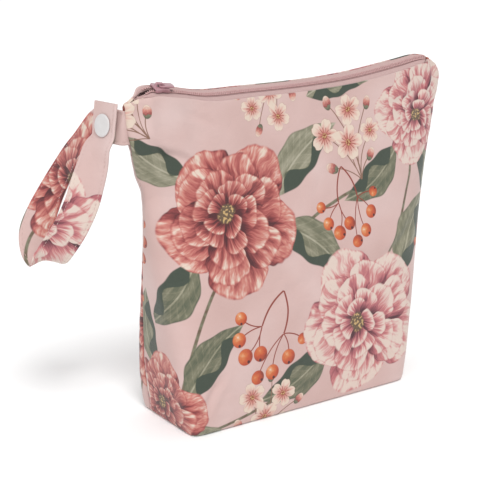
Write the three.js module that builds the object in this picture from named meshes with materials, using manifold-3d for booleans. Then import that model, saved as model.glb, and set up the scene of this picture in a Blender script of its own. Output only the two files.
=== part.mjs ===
// A zipped waterproof bag of printed cloth with a boxed base and a snapped wrist strap.
// Millimetres, +Z up. The bag stands on the floor with the origin under the middle of its
// base. X runs along the zipper, the strap is at the left end and the front faces -Y.

import * as THREE from "three";
import { mergeVertices } from "three/addons/utils/BufferGeometryUtils.js";
import Module from "manifold-3d";

const wasm = await Module();
wasm.setup();

// Bag body
const BASE_WIDTH = 157;
const BASE_DEPTH = 59;
const BAG_HEIGHT = 188;
const MOUTH_REACH_LEFT = 105.5;
const MOUTH_REACH_RIGHT = 121;
const MOUTH_DEPTH = 14;
const MOUTH_RISE = 8;
const MOUTH_TILT_RISE = 2.2;
const CORNER_SEWN_LENGTH = 5.5;
const CORNER_PINCH_LENGTH = 12;
const BASE_EDGE_RADIUS = 2;
const CLOTH = 1.6;
const SEAM_GAP = 0.3;
const FIT = 0.3;

// Zipper
const ZIPPER_INSET_LEFT = 12;
const ZIPPER_INSET_RIGHT = 9;
const TAPE = 0.8;
const TAPE_LEG = 4.5;
const TAPE_SPLIT = 0.9;
const COIL_WIDTH = 1.7;
const COIL_HEIGHT = 1.3;
const OPEN_END_SPREAD = 1;

// Slider and pull tab
const SLIDER_LENGTH = 9.6;
const SLIDER_PLATE = 0.8;
const SLIDER_FLANGE = 0.8;
const SLIDER_TIP_LENGTH = 3.8;
const SLIDER_CORNER = 1;
const SLIDER_POST_RADIUS = 0.6;
const SLIDER_SETBACK = 6;
const CROWN_LENGTH = 5;
const CROWN_SETBACK = 1.2;
const CROWN_WIDTH = 1.5;
const CROWN_BAR = 0.8;
const PULL_BAR = 0.9;
const PULL_PLAY = 0.3;
const PULL_LENGTH = 9.5;
const PULL_WIDTH = 4.4;
const PULL_REST_LIFT = 1;

// Wrist strap and its snap
const STRAP_WIDTH = 18.6;
const STRAP_THICKNESS = 1.6;
const STRAP_DROP = 78;
const STRAP_BELOW_MOUTH = 11.5;
const STRAP_ROOT_DEPTH = 9;
const SNAP_DIAMETER = 12.4;
const SNAP_CAP_HEIGHT = 1;
const SNAP_RING_DIAMETER = 10;
const SNAP_SOCKET_HEIGHT = 1.2;
const SNAP_STUD_HEIGHT = 0.7;
const SNAP_POST_RADIUS = 1.5;
const SNAP_OUT = 10;
const SNAP_RAISE = 1.5;
const SNAP_BACK = 1.4;
const SNAP_TURN = 10;
const SNAP_LEAN = 9;

// How finely the cloth is faceted
const PANEL_COLUMNS = 30;
const TAPE_STEPS = 34;
const STRAP_STEPS = 56;
const ROUND_SIDES = 20;

// The hollow's outline at each height. Height is a share of the bag's height. Left and right
// are shares of the way from the base's half width to the mouth's reach, front and back of
// the way from the base's half depth to the mouth's. Flat is the exponent along the width and
// square the one along the depth, large on a boxy section and small on a pointed one. Seam
// and tip are how far the left seam and the left edge lie back, in half base depths.
const SECTIONS = [
  { height: 0.0, left: 0.02, right: 0.02, front: 0.0, back: 0.0, flat: 30, square: 20, seam: 0.66, tip: 0 },
  { height: 0.08, left: 0.12, right: 0.09, front: -0.03, back: -0.03, flat: 20, square: 13, seam: 0.62, tip: 0 },
  { height: 0.16, left: 0.2, right: 0.17, front: -0.01, back: -0.01, flat: 14, square: 9, seam: 0.58, tip: 0 },
  { height: 0.26, left: 0.26, right: 0.28, front: 0.05, back: 0.04, flat: 9.5, square: 6.5, seam: 0.52, tip: 0 },
  { height: 0.37, left: 0.31, right: 0.41, front: 0.14, back: 0.12, flat: 6.5, square: 4.6, seam: 0.45, tip: 0 },
  { height: 0.5, left: 0.39, right: 0.57, front: 0.28, back: 0.26, flat: 4.6, square: 3.1, seam: 0.3, tip: 0 },
  { height: 0.62, left: 0.44, right: 0.72, front: 0.45, back: 0.42, flat: 3.8, square: 2.3, seam: 0.14, tip: 0 },
  { height: 0.7, left: 0.48, right: 0.81, front: 0.57, back: 0.54, flat: 3.4, square: 1.95, seam: 0.05, tip: 0 },
  { height: 0.745, left: 0.55, right: 0.86, front: 0.64, back: 0.61, flat: 3.2, square: 1.8, seam: 0.02, tip: -0.02 },
  { height: 0.785, left: 0.69, right: 0.9, front: 0.7, back: 0.67, flat: 3.1, square: 1.7, seam: 0, tip: -0.06 },
  { height: 0.83, left: 0.8, right: 0.95, front: 0.77, back: 0.74, flat: 3.2, square: 1.6, seam: 0, tip: -0.12 },
  { height: 0.885, left: 0.91, right: 1.0, front: 0.85, back: 0.83, flat: 3.6, square: 1.5, seam: 0, tip: -0.19 },
  { height: 0.94, left: 0.97, right: 1.06, front: 0.93, back: 0.92, flat: 4.6, square: 1.5, seam: 0, tip: -0.19 },
  { height: 0.975, left: 0.99, right: 1.08, front: 0.98, back: 0.98, flat: 5.6, square: 1.5, seam: 0, tip: -0.19 },
  { height: 1.0, left: 1.0, right: 1.0, front: 1.0, back: 1.0, flat: 6.5, square: 1.5, seam: 0, tip: -0.19 },
];

// How far the zipper line rises above the bag's height, along its way from left to right
const RIM = [
  { along: 0.0, rise: 0.15 },
  { along: 0.025, rise: 0.5 },
  { along: 0.05, rise: 0.78 },
  { along: 0.075, rise: 0.85 },
  { along: 0.1, rise: 0.75 },
  { along: 0.13, rise: 0.62 },
  { along: 0.16, rise: 0.47 },
  { along: 0.227, rise: 0.13 },
  { along: 0.347, rise: 0.06 },
  { along: 0.55, rise: 0.05 },
  { along: 0.7, rise: 0.25 },
  { along: 0.87, rise: 0.83 },
  { along: 0.95, rise: 1.15 },
  { along: 0.98, rise: 1.1 },
  { along: 1.0, rise: 0.6 },
];

// Soft dents and swellings of the two panels. Along and height are shares of the panel,
// wide and tall are shares of the base width and the bag's height, deep is in cloths.
const FRONT_DENTS = [
  { along: 0.17, height: 0.93, wide: 0.05, tall: 0.1, deep: 1.0 },
  { along: 0.1, height: 0.84, wide: 0.06, tall: 0.05, deep: 1.2 },
  { along: 0.2, height: 0.76, wide: 0.16, tall: 0.035, deep: -1.0 },
  { along: 0.24, height: 0.66, wide: 0.18, tall: 0.04, deep: 0.9 },
  { along: 0.2, height: 0.53, wide: 0.14, tall: 0.05, deep: -0.7 },
  { along: 0.55, height: 0.9, wide: 0.3, tall: 0.08, deep: 0.8 },
  { along: 0.92, height: 0.9, wide: 0.07, tall: 0.09, deep: 1.0 },
  { along: 0.72, height: 0.5, wide: 0.3, tall: 0.14, deep: -1.2 },
  { along: 0.4, height: 0.3, wide: 0.3, tall: 0.1, deep: -0.9 },
];
const BACK_DENTS = [
  { along: 0.12, height: 0.86, wide: 0.07, tall: 0.07, deep: 1.0 },
  { along: 0.45, height: 0.68, wide: 0.3, tall: 0.06, deep: 1.1 },
  { along: 0.7, height: 0.45, wide: 0.25, tall: 0.1, deep: -1.1 },
  { along: 0.3, height: 0.35, wide: 0.25, tall: 0.1, deep: -1.0 },
  { along: 0.88, height: 0.84, wide: 0.08, tall: 0.08, deep: 1.0 },
];

// The strap's middle line from its free end, down the front leg, round the bottom of the loop
// and up the rear leg to the snap. Out is toward -X, back toward +Y and down toward -Z from
// the snap's middle, in shares of the drop. The width runs along out_w, back_w and down_w.
const STRAP_ROUTE = [
  { out: 0.031, back: 0.011, down: 0.159, out_w: -0.30, back_w: -0.95, down_w: 0.13 },
  { out: 0.067, back: 0.017, down: 0.282, out_w: -0.53, back_w: -0.83, down_w: 0.21 },
  { out: 0.101, back: 0.025, down: 0.391, out_w: -0.67, back_w: -0.69, down_w: 0.27 },
  { out: 0.147, back: 0.043, down: 0.544, out_w: -0.82, back_w: -0.56, down_w: 0.1 },
  { out: 0.207, back: 0.097, down: 0.711, out_w: -0.82, back_w: -0.57, down_w: 0.04 },
  { out: 0.261, back: 0.168, down: 0.845, out_w: -0.82, back_w: -0.57, down_w: 0 },
  { out: 0.297, back: 0.236, down: 0.935, out_w: -0.82, back_w: -0.57, down_w: 0 },
  { out: 0.315, back: 0.306, down: 0.967, out_w: -0.82, back_w: -0.57, down_w: 0 },
  { out: 0.328, back: 0.385, down: 0.918, out_w: -0.82, back_w: -0.57, down_w: 0 },
  { out: 0.310, back: 0.450, down: 0.810, out_w: -0.78, back_w: -0.63, down_w: 0.02 },
  { out: 0.237, back: 0.470, down: 0.663, out_w: -0.58, back_w: -0.8, down_w: 0.12 },
  { out: 0.155, back: 0.460, down: 0.511, out_w: -0.27, back_w: -0.93, down_w: 0.24 },
  { out: 0.083, back: 0.404, down: 0.349, out_w: -0.02, back_w: -0.92, down_w: 0.39 },
  { out: 0.041, back: 0.313, down: 0.212, out_w: 0.17, back_w: -0.84, down_w: 0.5 },
];

const HALF_BASE = BASE_WIDTH / 2;
const HALF_DEPTH = BASE_DEPTH / 2;
const strapHeight = BAG_HEIGHT - STRAP_BELOW_MOUTH;

// Turns a table into a smooth function that gives one column at any place along another
function column(table, key, name) {
  const places = table.map((row) => row[key]);
  const values = table.map((row) => row[name]);
  const curve = new THREE.CubicInterpolant(places, values, 1);
  return (place) => curve.evaluate(place)[0];
}

const section = Object.fromEntries(
  ["left", "right", "front", "back", "flat", "square", "seam", "tip"].map((name) => [
    name,
    column(SECTIONS, "height", name),
  ]),
);
const rimRise = column(RIM, "along", "rise");

function signedPower(value, exponent) {
  return Math.sign(value) * Math.abs(value) ** exponent;
}

function dentDepth(dents, along, height) {
  const reach = (dent) => {
    const across = ((along - dent.along) * (MOUTH_REACH_LEFT + MOUTH_REACH_RIGHT)) / (dent.wide * BASE_WIDTH);
    const up = (height - dent.height) / dent.tall;
    return dent.deep * CLOTH * Math.exp(-across * across - up * up);
  };
  return dents.reduce((sum, dent) => sum + reach(dent), 0);
}

// Sizes of the hollow's outline at a height
function outlineAt(height) {
  const left = -THREE.MathUtils.lerp(HALF_BASE, MOUTH_REACH_LEFT, section.left(height)) + CLOTH;
  const right = THREE.MathUtils.lerp(HALF_BASE, MOUTH_REACH_RIGHT, section.right(height)) - CLOTH;
  const halfMouth = MOUTH_DEPTH / 2;
  return {
    left,
    right,
    front: THREE.MathUtils.lerp(HALF_DEPTH - CLOTH, halfMouth, section.front(height)),
    back: THREE.MathUtils.lerp(HALF_DEPTH - CLOTH, halfMouth, section.back(height)),
    flat: section.flat(height),
    square: section.square(height),
    tip: section.tip(height) * HALF_DEPTH,
    pinch: THREE.MathUtils.smoothstep(height, 0.86, 1),
  };
}

// A point of the hollow's outline. The angle runs from the left edge (0) by the front to the
// right edge (PI) and by the back to the left edge again.
function outlinePoint(outline, angle) {
  const middle = (outline.left + outline.right) / 2;
  const half = (outline.right - outline.left) / 2;
  const x = middle - half * signedPower(Math.cos(angle), 2 / outline.flat);
  const depth = Math.sin(angle) > 0 ? outline.front : outline.back;
  const fromEnd = Math.min(x - outline.left, outline.right - x);
  const open = THREE.MathUtils.smoothstep(fromEnd, CORNER_SEWN_LENGTH, CORNER_PINCH_LENGTH);
  const pinched = 1 - outline.pinch * (1 - open);
  const lean = outline.tip * (1 - (x - outline.left) / (2 * half)) ** 3;
  return new THREE.Vector2(x, lean - pinched * depth * signedPower(Math.sin(angle), 2 / outline.square));
}

// The outline between two angles as a row of points at even distances, with the direction in
// which the cloth's outer face lies. The row turns square to the seam at both of its ends.
function outlineRow(outline, from, to) {
  const dense = new THREE.SplineCurve();
  const steps = 400;
  for (let step = 0; step <= steps; step += 1) {
    dense.points.push(outlinePoint(outline, THREE.MathUtils.lerp(from, to, step / steps)));
  }
  const lengths = [0];
  for (let step = 1; step <= steps; step += 1) {
    lengths.push(lengths[step - 1] + dense.points[step].distanceTo(dense.points[step - 1]));
  }
  const total = lengths[steps];
  const endSteps = [0, 0.35 * CLOTH, 1.1 * CLOTH];
  const inner = Array.from({ length: PANEL_COLUMNS - 3 }, (_, index) => (index + 1) / (PANEL_COLUMNS - 2));
  const span = total - 2 * endSteps[2];
  const places = [
    ...endSteps,
    ...inner.map((share) => endSteps[2] + share * span),
    ...endSteps.map((length) => total - length).reverse(),
  ];
  const seamSide = Math.cos(from) > 0 ? -1 : 1;
  return places.map((place, index) => {
    const next = Math.max(1, lengths.findIndex((length) => length >= place - 1e-9));
    const share = (place - lengths[next - 1]) / (lengths[next] - lengths[next - 1]);
    const point = dense.points[next - 1].clone().lerp(dense.points[next], share);
    const tangent = dense.points[next].clone().sub(dense.points[next - 1]).normalize();
    const outward = new THREE.Vector2(tangent.y, -tangent.x);
    const fromEnd = Math.min(index, places.length - 1 - index);
    const side = index < places.length / 2 ? seamSide : -seamSide;
    const square = [1, 0.5, 0][fromEnd] ?? 0;
    outward.lerp(new THREE.Vector2(side, 0), square).normalize();
    return { point, outward };
  });
}

// How much the two panels part at the left seam to let the strap's root through
const STRAP_LOW = (strapHeight - STRAP_WIDTH / 2 - CLOTH) / BAG_HEIGHT;
const STRAP_HIGH = (strapHeight + STRAP_WIDTH / 2) / BAG_HEIGHT;
const STRAP_SLIT = STRAP_THICKNESS / 2 + 1.5 * FIT - SEAM_GAP / 2;

function strapParting(height, x, left) {
  const below = THREE.MathUtils.smoothstep(height, STRAP_LOW - 0.025, STRAP_LOW);
  const above = 1 - THREE.MathUtils.smoothstep(height, STRAP_HIGH + 0.004, 1);
  const near = 1 - THREE.MathUtils.smoothstep(x - left, STRAP_ROOT_DEPTH, 2 * STRAP_ROOT_DEPTH);
  return STRAP_SLIT * below * above * near;
}

// Height of the rim above a place along the width, on the front (-1) or the back (1)
function rimHeight(along, side) {
  const tilt = MOUTH_TILT_RISE * side * THREE.MathUtils.smoothstep(Math.min(along, 1 - along), 0, 0.06);
  return MOUTH_RISE * rimRise(along) + tilt;
}

// The rows of one panel from the bottom seam outward to the base's edge and up to the rim
const BASE_FILL = [0, 0.3, 0.65, 1];
const WALL_HEIGHTS = [
  0.04, 0.09, 0.15, 0.215, 0.28, 0.345, 0.41, 0.475, 0.54, 0.6, 0.655, 0.7, 0.74, 0.775, 0.81, 0.84,
  STRAP_LOW - 0.025,
  STRAP_LOW,
  (STRAP_LOW + STRAP_HIGH) / 2,
  STRAP_HIGH,
  1,
];

function panelGrid(side, dents) {
  const backward = side > 0;
  const seamAngle = (height, outline) => {
    const share = Math.min(1, Math.max(0, (section.seam(height) * HALF_DEPTH) / outline.back));
    return -Math.asin(share ** (outline.square / 2));
  };
  const row = (height) => {
    const outline = outlineAt(height);
    const seam = seamAngle(height, outline);
    return backward ? outlineRow(outline, Math.PI, 2 * Math.PI + seam) : outlineRow(outline, seam, Math.PI);
  };
  const outer = [];
  const inner = [];
  const foot = row(0);
  const inset = (sample, amount) => sample.point.clone().addScaledVector(sample.outward, -amount);
  const first = foot[0].point;
  const last = foot[foot.length - 1].point;
  const shift = (side * SEAM_GAP) / 2;
  for (const fill of BASE_FILL) {
    const middle = (index) => first.clone().lerp(last, index / (foot.length - 1));
    const placed = foot.map((sample, index) => ({
      inside: middle(index).lerp(inset(sample, BASE_EDGE_RADIUS), fill),
      outside: middle(index).lerp(inset(sample, BASE_EDGE_RADIUS - CLOTH), fill),
    }));
    inner.push(placed.map(({ inside }) => new THREE.Vector3(inside.x, inside.y + shift, CLOTH)));
    outer.push(placed.map(({ outside }) => new THREE.Vector3(outside.x, outside.y + shift, 0)));
  }
  const edge = (amount, rise) => {
    const inside = foot.map((sample) => inset(sample, amount));
    const outside = foot.map((sample) => inset(sample, amount - CLOTH));
    inner.push(inside.map(({ x, y }) => new THREE.Vector3(x, y + shift, CLOTH + rise)));
    outer.push(outside.map(({ x, y }) => new THREE.Vector3(x, y + shift, rise)));
  };
  edge(0.3 * BASE_EDGE_RADIUS, 0.3 * BASE_EDGE_RADIUS);
  edge(0, BASE_EDGE_RADIUS);
  for (const height of WALL_HEIGHTS) {
    const outline = outlineAt(height);
    const width = outline.right - outline.left;
    const place = ({ point, outward }, thickness) => {
      const along = THREE.MathUtils.clamp((point.x - outline.left) / width, 0, 1);
      const dent = dentDepth(dents, along, height) * Math.min(1, 12 * along * (1 - along));
      const parting = strapParting(height, point.x, outline.left);
      const lifted = point.clone().addScaledVector(outward, thickness);
      const y = lifted.y + shift + side * (parting - dent);
      const z = height * BAG_HEIGHT + rimHeight(along, side) * height ** 8;
      return new THREE.Vector3(lifted.x, y, z);
    };
    const samples = row(height);
    inner.push(samples.map((sample) => place(sample, 0)));
    outer.push(samples.map((sample) => place(sample, CLOTH)));
  }
  return { outer, inner };
}

// A closed body between two grids of points: outer faces out, inner faces the other way
function sheetGeometry(outer, inner) {
  const rows = outer.length;
  const columns = outer[0].length;
  const positions = [...outer.flat(), ...inner.flat()].flatMap((point) => [point.x, point.y, point.z]);
  const out = (row, place) => row * columns + place;
  const into = (row, place) => (rows + row) * columns + place;
  const index = [];
  const quad = (a, b, c, d) => index.push(a, b, c, a, c, d);
  for (let row = 0; row < rows - 1; row += 1) {
    for (let place = 0; place < columns - 1; place += 1) {
      quad(out(row, place), out(row, place + 1), out(row + 1, place + 1), out(row + 1, place));
      quad(into(row, place), into(row + 1, place), into(row + 1, place + 1), into(row, place + 1));
    }
    quad(out(row, 0), out(row + 1, 0), into(row + 1, 0), into(row, 0));
    quad(out(row, columns - 1), into(row, columns - 1), into(row + 1, columns - 1), out(row + 1, columns - 1));
  }
  for (let place = 0; place < columns - 1; place += 1) {
    quad(out(0, place), into(0, place), into(0, place + 1), out(0, place + 1));
    quad(out(rows - 1, place), out(rows - 1, place + 1), into(rows - 1, place + 1), into(rows - 1, place));
  }
  return indexedGeometry(positions, index);
}

function indexedGeometry(positions, index) {
  const geometry = new THREE.BufferGeometry();
  geometry.setAttribute("position", new THREE.Float32BufferAttribute(positions, 3));
  geometry.setIndex(index);
  geometry.computeVertexNormals();
  return geometry;
}

// A closed body swept through a row of sections that all have the same number of points,
// each section running anticlockwise when it is seen from the end of the row
function sweptGeometry(sections) {
  const count = sections[0].length;
  const positions = sections.flat().flatMap((point) => [point.x, point.y, point.z]);
  const index = [];
  for (let row = 0; row < sections.length - 1; row += 1) {
    for (let place = 0; place < count; place += 1) {
      const next = (place + 1) % count;
      const here = row * count;
      const there = here + count;
      index.push(here + place, here + next, there + next, here + place, there + next, there + place);
    }
  }
  const profile = sectionOutline(sections[0]);
  const lid = THREE.ShapeUtils.triangulateShape(profile, []);
  const end = (sections.length - 1) * count;
  for (const [a, b, c] of lid) {
    index.push(a, c, b);
    index.push(end + a, end + b, end + c);
  }
  return indexedGeometry(positions, index);
}

// A section's points laid flat in its own plane
function sectionOutline(points) {
  const middle = points.reduce((sum, point) => sum.add(point), new THREE.Vector3()).divideScalar(points.length);
  const normal = new THREE.Vector3();
  points.forEach((point, index) => {
    const next = points[(index + 1) % points.length];
    normal.add(point.clone().sub(middle).cross(next.clone().sub(middle)));
  });
  const across = points[1].clone().sub(points[0]).normalize();
  const up = normal.normalize().clone().cross(across);
  return points.map((point) => {
    const offset = point.clone().sub(middle);
    return new THREE.Vector2(offset.dot(across), offset.dot(up));
  });
}

// Solids that are joined or cut
function toSolid(geometry) {
  const bare = geometry.clone();
  bare.deleteAttribute("normal");
  bare.deleteAttribute("uv");
  const merged = mergeVertices(bare, 1e-4);
  const mesh = new wasm.Mesh({
    numProp: 3,
    vertProperties: new Float32Array(merged.attributes.position.array),
    triVerts: new Uint32Array(merged.index.array),
  });
  return new wasm.Manifold(mesh);
}

function fromSolid(solid) {
  const mesh = solid.getMesh();
  return indexedGeometry(Array.from(mesh.vertProperties), Array.from(mesh.triVerts));
}

function join(geometries) {
  return fromSolid(geometries.map(toSolid).reduce((whole, solid) => whole.add(solid)));
}

function cut(geometry, tools) {
  return fromSolid(tools.map(toSolid).reduce((whole, solid) => whole.subtract(solid), toSolid(geometry)));
}

const frontPanel = panelGrid(-1, FRONT_DENTS);
const backPanel = panelGrid(1, BACK_DENTS);

// The rim's inner edge on one panel, at any place along X
function rimLine(panel) {
  const row = [...panel.inner[panel.inner.length - 1]].sort((a, b) => a.x - b.x);
  return (x) => {
    const next = Math.min(row.length - 1, Math.max(1, row.findIndex((point) => point.x >= x)));
    const share = (x - row[next - 1].x) / (row[next].x - row[next - 1].x);
    return row[next - 1].clone().lerp(row[next], share);
  };
}

const frontRim = rimLine(frontPanel);
const backRim = rimLine(backPanel);
const zipperLeft = -MOUTH_REACH_LEFT + ZIPPER_INSET_LEFT;
const zipperRight = MOUTH_REACH_RIGHT - ZIPPER_INSET_RIGHT;

// The middle of the mouth at a place along X, with the directions across it and up from it
function mouthFrame(x) {
  const front = frontRim(x);
  const back = backRim(x);
  const middle = front.clone().add(back).multiplyScalar(0.5);
  const ahead = frontRim(x + 2).add(backRim(x + 2)).multiplyScalar(0.5);
  const behind = frontRim(x - 2).add(backRim(x - 2)).multiplyScalar(0.5);
  const along = ahead.sub(behind).normalize();
  const across = back.clone().sub(front);
  across.addScaledVector(along, -across.dot(along)).normalize();
  const up = along.clone().cross(across);
  return { middle, along, across, up, halfWidth: front.distanceTo(back) / 2 };
}

const sliderMiddle = zipperLeft + SLIDER_SETBACK + SLIDER_LENGTH / 2;
const postMiddle = sliderMiddle - SLIDER_LENGTH / 2 + SLIDER_PLATE + SLIDER_POST_RADIUS;

// The coils follow the mouth, but the slider holds them straight where they run through it.
function zipperFrame(x) {
  const free = mouthFrame(x);
  const held = mouthFrame(sliderMiddle);
  const beyond = Math.abs(x - sliderMiddle) - SLIDER_LENGTH / 2;
  const hold = 1 - THREE.MathUtils.smoothstep(beyond, FIT, SLIDER_LENGTH / 2);
  held.middle.addScaledVector(held.along, (x - sliderMiddle) / held.along.x);
  const middle = free.middle.lerp(held.middle, hold);
  const along = free.along.lerp(held.along, hold).normalize();
  const across = free.across.lerp(held.across, hold);
  across.addScaledVector(along, -across.dot(along)).normalize();
  return { middle, along, across, up: along.clone().cross(across) };
}

// The two halves part at the open end, left of the slider's post
function spreadAt(x) {
  const start = postMiddle + SLIDER_POST_RADIUS + SLIDER_TIP_LENGTH / 2;
  return OPEN_END_SPREAD * (1 - THREE.MathUtils.smoothstep(x, postMiddle, start));
}

function steps(from, to, count) {
  return Array.from({ length: count + 1 }, (_, index) => THREE.MathUtils.lerp(from, to, index / count));
}

// Places along the zipper, close together by the slider where the two halves part
function zipperSteps(inset) {
  const sliderEnd = sliderMiddle + SLIDER_LENGTH;
  const parting = steps(zipperLeft + inset, sliderEnd, Math.round(TAPE_STEPS * 0.45));
  return [...parting, ...steps(sliderEnd, zipperRight - inset, TAPE_STEPS).slice(1)];
}

// One tape: a leg that is sewn inside the panel, then the visible strip up to the coil
function tapeGeometry(side) {
  const sections = zipperSteps(0).map((x) => {
    const mouth = mouthFrame(x);
    const { middle, across, up } = zipperFrame(x);
    const bend = mouth.middle.clone().addScaledVector(mouth.across, side * (mouth.halfWidth - 2 * FIT));
    const edge = middle.clone().addScaledVector(across, side * (TAPE_SPLIT / 2 + spreadAt(x)));
    const down = new THREE.Vector3(0, 0, -1);
    const inward = across.clone().multiplyScalar(-side);
    const ring = [
      bend.clone().addScaledVector(down, TAPE_LEG),
      bend,
      edge,
      edge.clone().addScaledVector(up, -TAPE),
      bend.clone().addScaledVector(inward, TAPE).addScaledVector(up, -TAPE),
      bend.clone().addScaledVector(inward, TAPE).addScaledVector(down, TAPE_LEG),
    ];
    return side < 0 ? ring.reverse() : ring;
  });
  return sweptGeometry(sections);
}

// One half of the coil, a low ridge that lies on its tape beside the other half
function coilGeometry(side) {
  const sections = zipperSteps(FIT).map((x) => {
    const { middle, across, up } = zipperFrame(x);
    const near = SEAM_GAP / 2 + spreadAt(x);
    const far = near + COIL_WIDTH;
    const foot = FIT;
    const top = foot + COIL_HEIGHT;
    const shoulder = foot + 0.6 * COIL_HEIGHT;
    const at = (out, lift) => middle.clone().addScaledVector(across, side * out).addScaledVector(up, lift);
    const ring = [
      at(far, foot),
      at(far, shoulder),
      at(far - 0.25 * COIL_WIDTH, top),
      at(near + 0.25 * COIL_WIDTH, top),
      at(near, shoulder),
      at(near, foot),
    ];
    return side < 0 ? ring.reverse() : ring;
  });
  return sweptGeometry(sections);
}

// Slider parts are drawn with X along the zipper, Y across it and Z up from the tape's face.
const channelTop = FIT + COIL_HEIGHT + FIT;
const plateTop = channelTop + SLIDER_PLATE;
const plateFloor = -TAPE - FIT;
const flangeFoot = 2 * FIT;
const tailHalf = SEAM_GAP / 2 + COIL_WIDTH + FIT + SLIDER_FLANGE;
const noseHalf = tailHalf + OPEN_END_SPREAD;
const pullAxisHeight = plateTop + PULL_BAR / 2 + PULL_PLAY;

// The slider's plan: wide and round at the nose where the halves part, narrow at the tail
function sliderPlan(inset) {
  const nose = -SLIDER_LENGTH / 2;
  const tail = SLIDER_LENGTH / 2;
  const waist = nose + SLIDER_TIP_LENGTH;
  const plan = new THREE.Shape();
  plan.moveTo(tail, -(tailHalf - inset));
  plan.lineTo(tail, tailHalf - inset);
  plan.lineTo(waist + SLIDER_CORNER, tailHalf - inset);
  plan.quadraticCurveTo(waist - SLIDER_CORNER, noseHalf - inset, nose + SLIDER_CORNER, noseHalf - inset);
  plan.lineTo(nose, noseHalf - inset - SLIDER_CORNER);
  plan.lineTo(nose, -(noseHalf - inset - SLIDER_CORNER));
  plan.lineTo(nose + SLIDER_CORNER, -(noseHalf - inset));
  plan.quadraticCurveTo(waist - SLIDER_CORNER, -(noseHalf - inset), waist + SLIDER_CORNER, -(tailHalf - inset));
  plan.closePath();
  return plan;
}

function slab(shape, from, to) {
  const geometry = new THREE.ExtrudeGeometry(shape, { depth: to - from, bevelEnabled: false, curveSegments: 5 });
  return geometry.translate(0, 0, from);
}

function sliderGeometry() {
  const top = slab(sliderPlan(0), flangeFoot, plateTop);
  const channel = slab(sliderPlan(SLIDER_FLANGE), -TAPE, channelTop);
  const mouths = new THREE.BoxGeometry(2.5 * SLIDER_FLANGE, 2 * (tailHalf - SLIDER_FLANGE), channelTop + TAPE);
  mouths.translate(SLIDER_LENGTH / 2, 0, (channelTop - TAPE) / 2);
  const noseMouth = new THREE.BoxGeometry(3 * SLIDER_FLANGE, 2 * (noseHalf - SLIDER_FLANGE), channelTop + TAPE);
  noseMouth.translate(-SLIDER_LENGTH / 2, 0, (channelTop - TAPE) / 2);
  const cover = fromSolid(
    toSolid(top).subtract(toSolid(channel)).subtract(toSolid(mouths)).subtract(toSolid(noseMouth)),
  );
  const floor = slab(sliderPlan(SLIDER_FLANGE), plateFloor - SLIDER_PLATE, plateFloor);
  const postHeight = channelTop - plateFloor + SLIDER_PLATE;
  const post = new THREE.CylinderGeometry(SLIDER_POST_RADIUS, SLIDER_POST_RADIUS, postHeight, 12);
  post.rotateX(Math.PI / 2);
  post.translate(postMiddle - sliderMiddle, 0, plateFloor + (channelTop - plateFloor) / 2);
  return join([cover, floor, post, crownGeometry()]);
}

// The crown is an arch along the slider that holds the pull tab's bar under it.
function crownGeometry() {
  const half = CROWN_LENGTH / 2;
  const tunnelTop = pullAxisHeight + PULL_BAR / 2 + PULL_PLAY;
  const sideOn = new THREE.Shape();
  sideOn.moveTo(-half, plateTop - SLIDER_PLATE / 2);
  sideOn.lineTo(-half, tunnelTop);
  sideOn.lineTo(-half + CROWN_BAR, tunnelTop + CROWN_BAR);
  sideOn.lineTo(half - CROWN_BAR, tunnelTop + CROWN_BAR);
  sideOn.lineTo(half, tunnelTop);
  sideOn.lineTo(half, plateTop - SLIDER_PLATE / 2);
  sideOn.closePath();
  const block = new THREE.ExtrudeGeometry(sideOn, { depth: CROWN_WIDTH, bevelEnabled: false });
  block.rotateX(Math.PI / 2);
  block.translate(0, CROWN_WIDTH / 2, 0);
  const tunnel = new THREE.BoxGeometry(CROWN_LENGTH - 2 * CROWN_BAR, 2 * CROWN_WIDTH, tunnelTop - plateTop);
  tunnel.translate(0, 0, (tunnelTop + plateTop) / 2);
  return cut(block, [tunnel]).translate(-CROWN_SETBACK, 0, 0);
}

// The pull tab turns about the bar at its end, which is drawn at the origin along Y.
const crownReach = Math.hypot(CROWN_LENGTH / 2, PULL_BAR / 2 + PULL_PLAY + CROWN_BAR);

function pullGeometry() {
  const plate = new THREE.Shape();
  const eyeHalf = CROWN_WIDTH / 2 + PULL_PLAY;
  const half = PULL_WIDTH / 2;
  const eyeEnd = crownReach + PULL_PLAY;
  const end = PULL_LENGTH - PULL_BAR / 2;
  const tip = 0.6 * half;
  plate.moveTo(-PULL_BAR / 2, -half);
  plate.lineTo(end - tip, -half);
  plate.quadraticCurveTo(end, -half, end, -half + tip);
  plate.lineTo(end, half - tip);
  plate.quadraticCurveTo(end, half, end - tip, half);
  plate.lineTo(-PULL_BAR / 2, half);
  plate.closePath();
  const eye = new THREE.Path();
  eye.moveTo(PULL_BAR / 2, -eyeHalf);
  eye.lineTo(PULL_BAR / 2, eyeHalf);
  eye.lineTo(eyeEnd, eyeHalf);
  eye.lineTo(eyeEnd, -eyeHalf);
  eye.closePath();
  plate.holes.push(eye);
  const thickness = PULL_BAR;
  return slab(plate, -thickness / 2, thickness / 2);
}

// The snap's middle lies out from the bag's left edge, and its axis points out of the cap.
const snapMiddle = new THREE.Vector3(-MOUTH_REACH_LEFT - SNAP_OUT, SNAP_BACK, strapHeight + SNAP_RAISE);
const turn = THREE.MathUtils.degToRad(SNAP_TURN);
const lean = THREE.MathUtils.degToRad(SNAP_LEAN);
const snapAxis = new THREE.Vector3(
  -Math.cos(turn) * Math.cos(lean),
  -Math.sin(turn) * Math.cos(lean),
  Math.sin(lean),
);
const snapSide = new THREE.Vector3(Math.sin(turn), -Math.cos(turn), 0);
const snapDown = snapSide.clone().cross(snapAxis).normalize();

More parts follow.
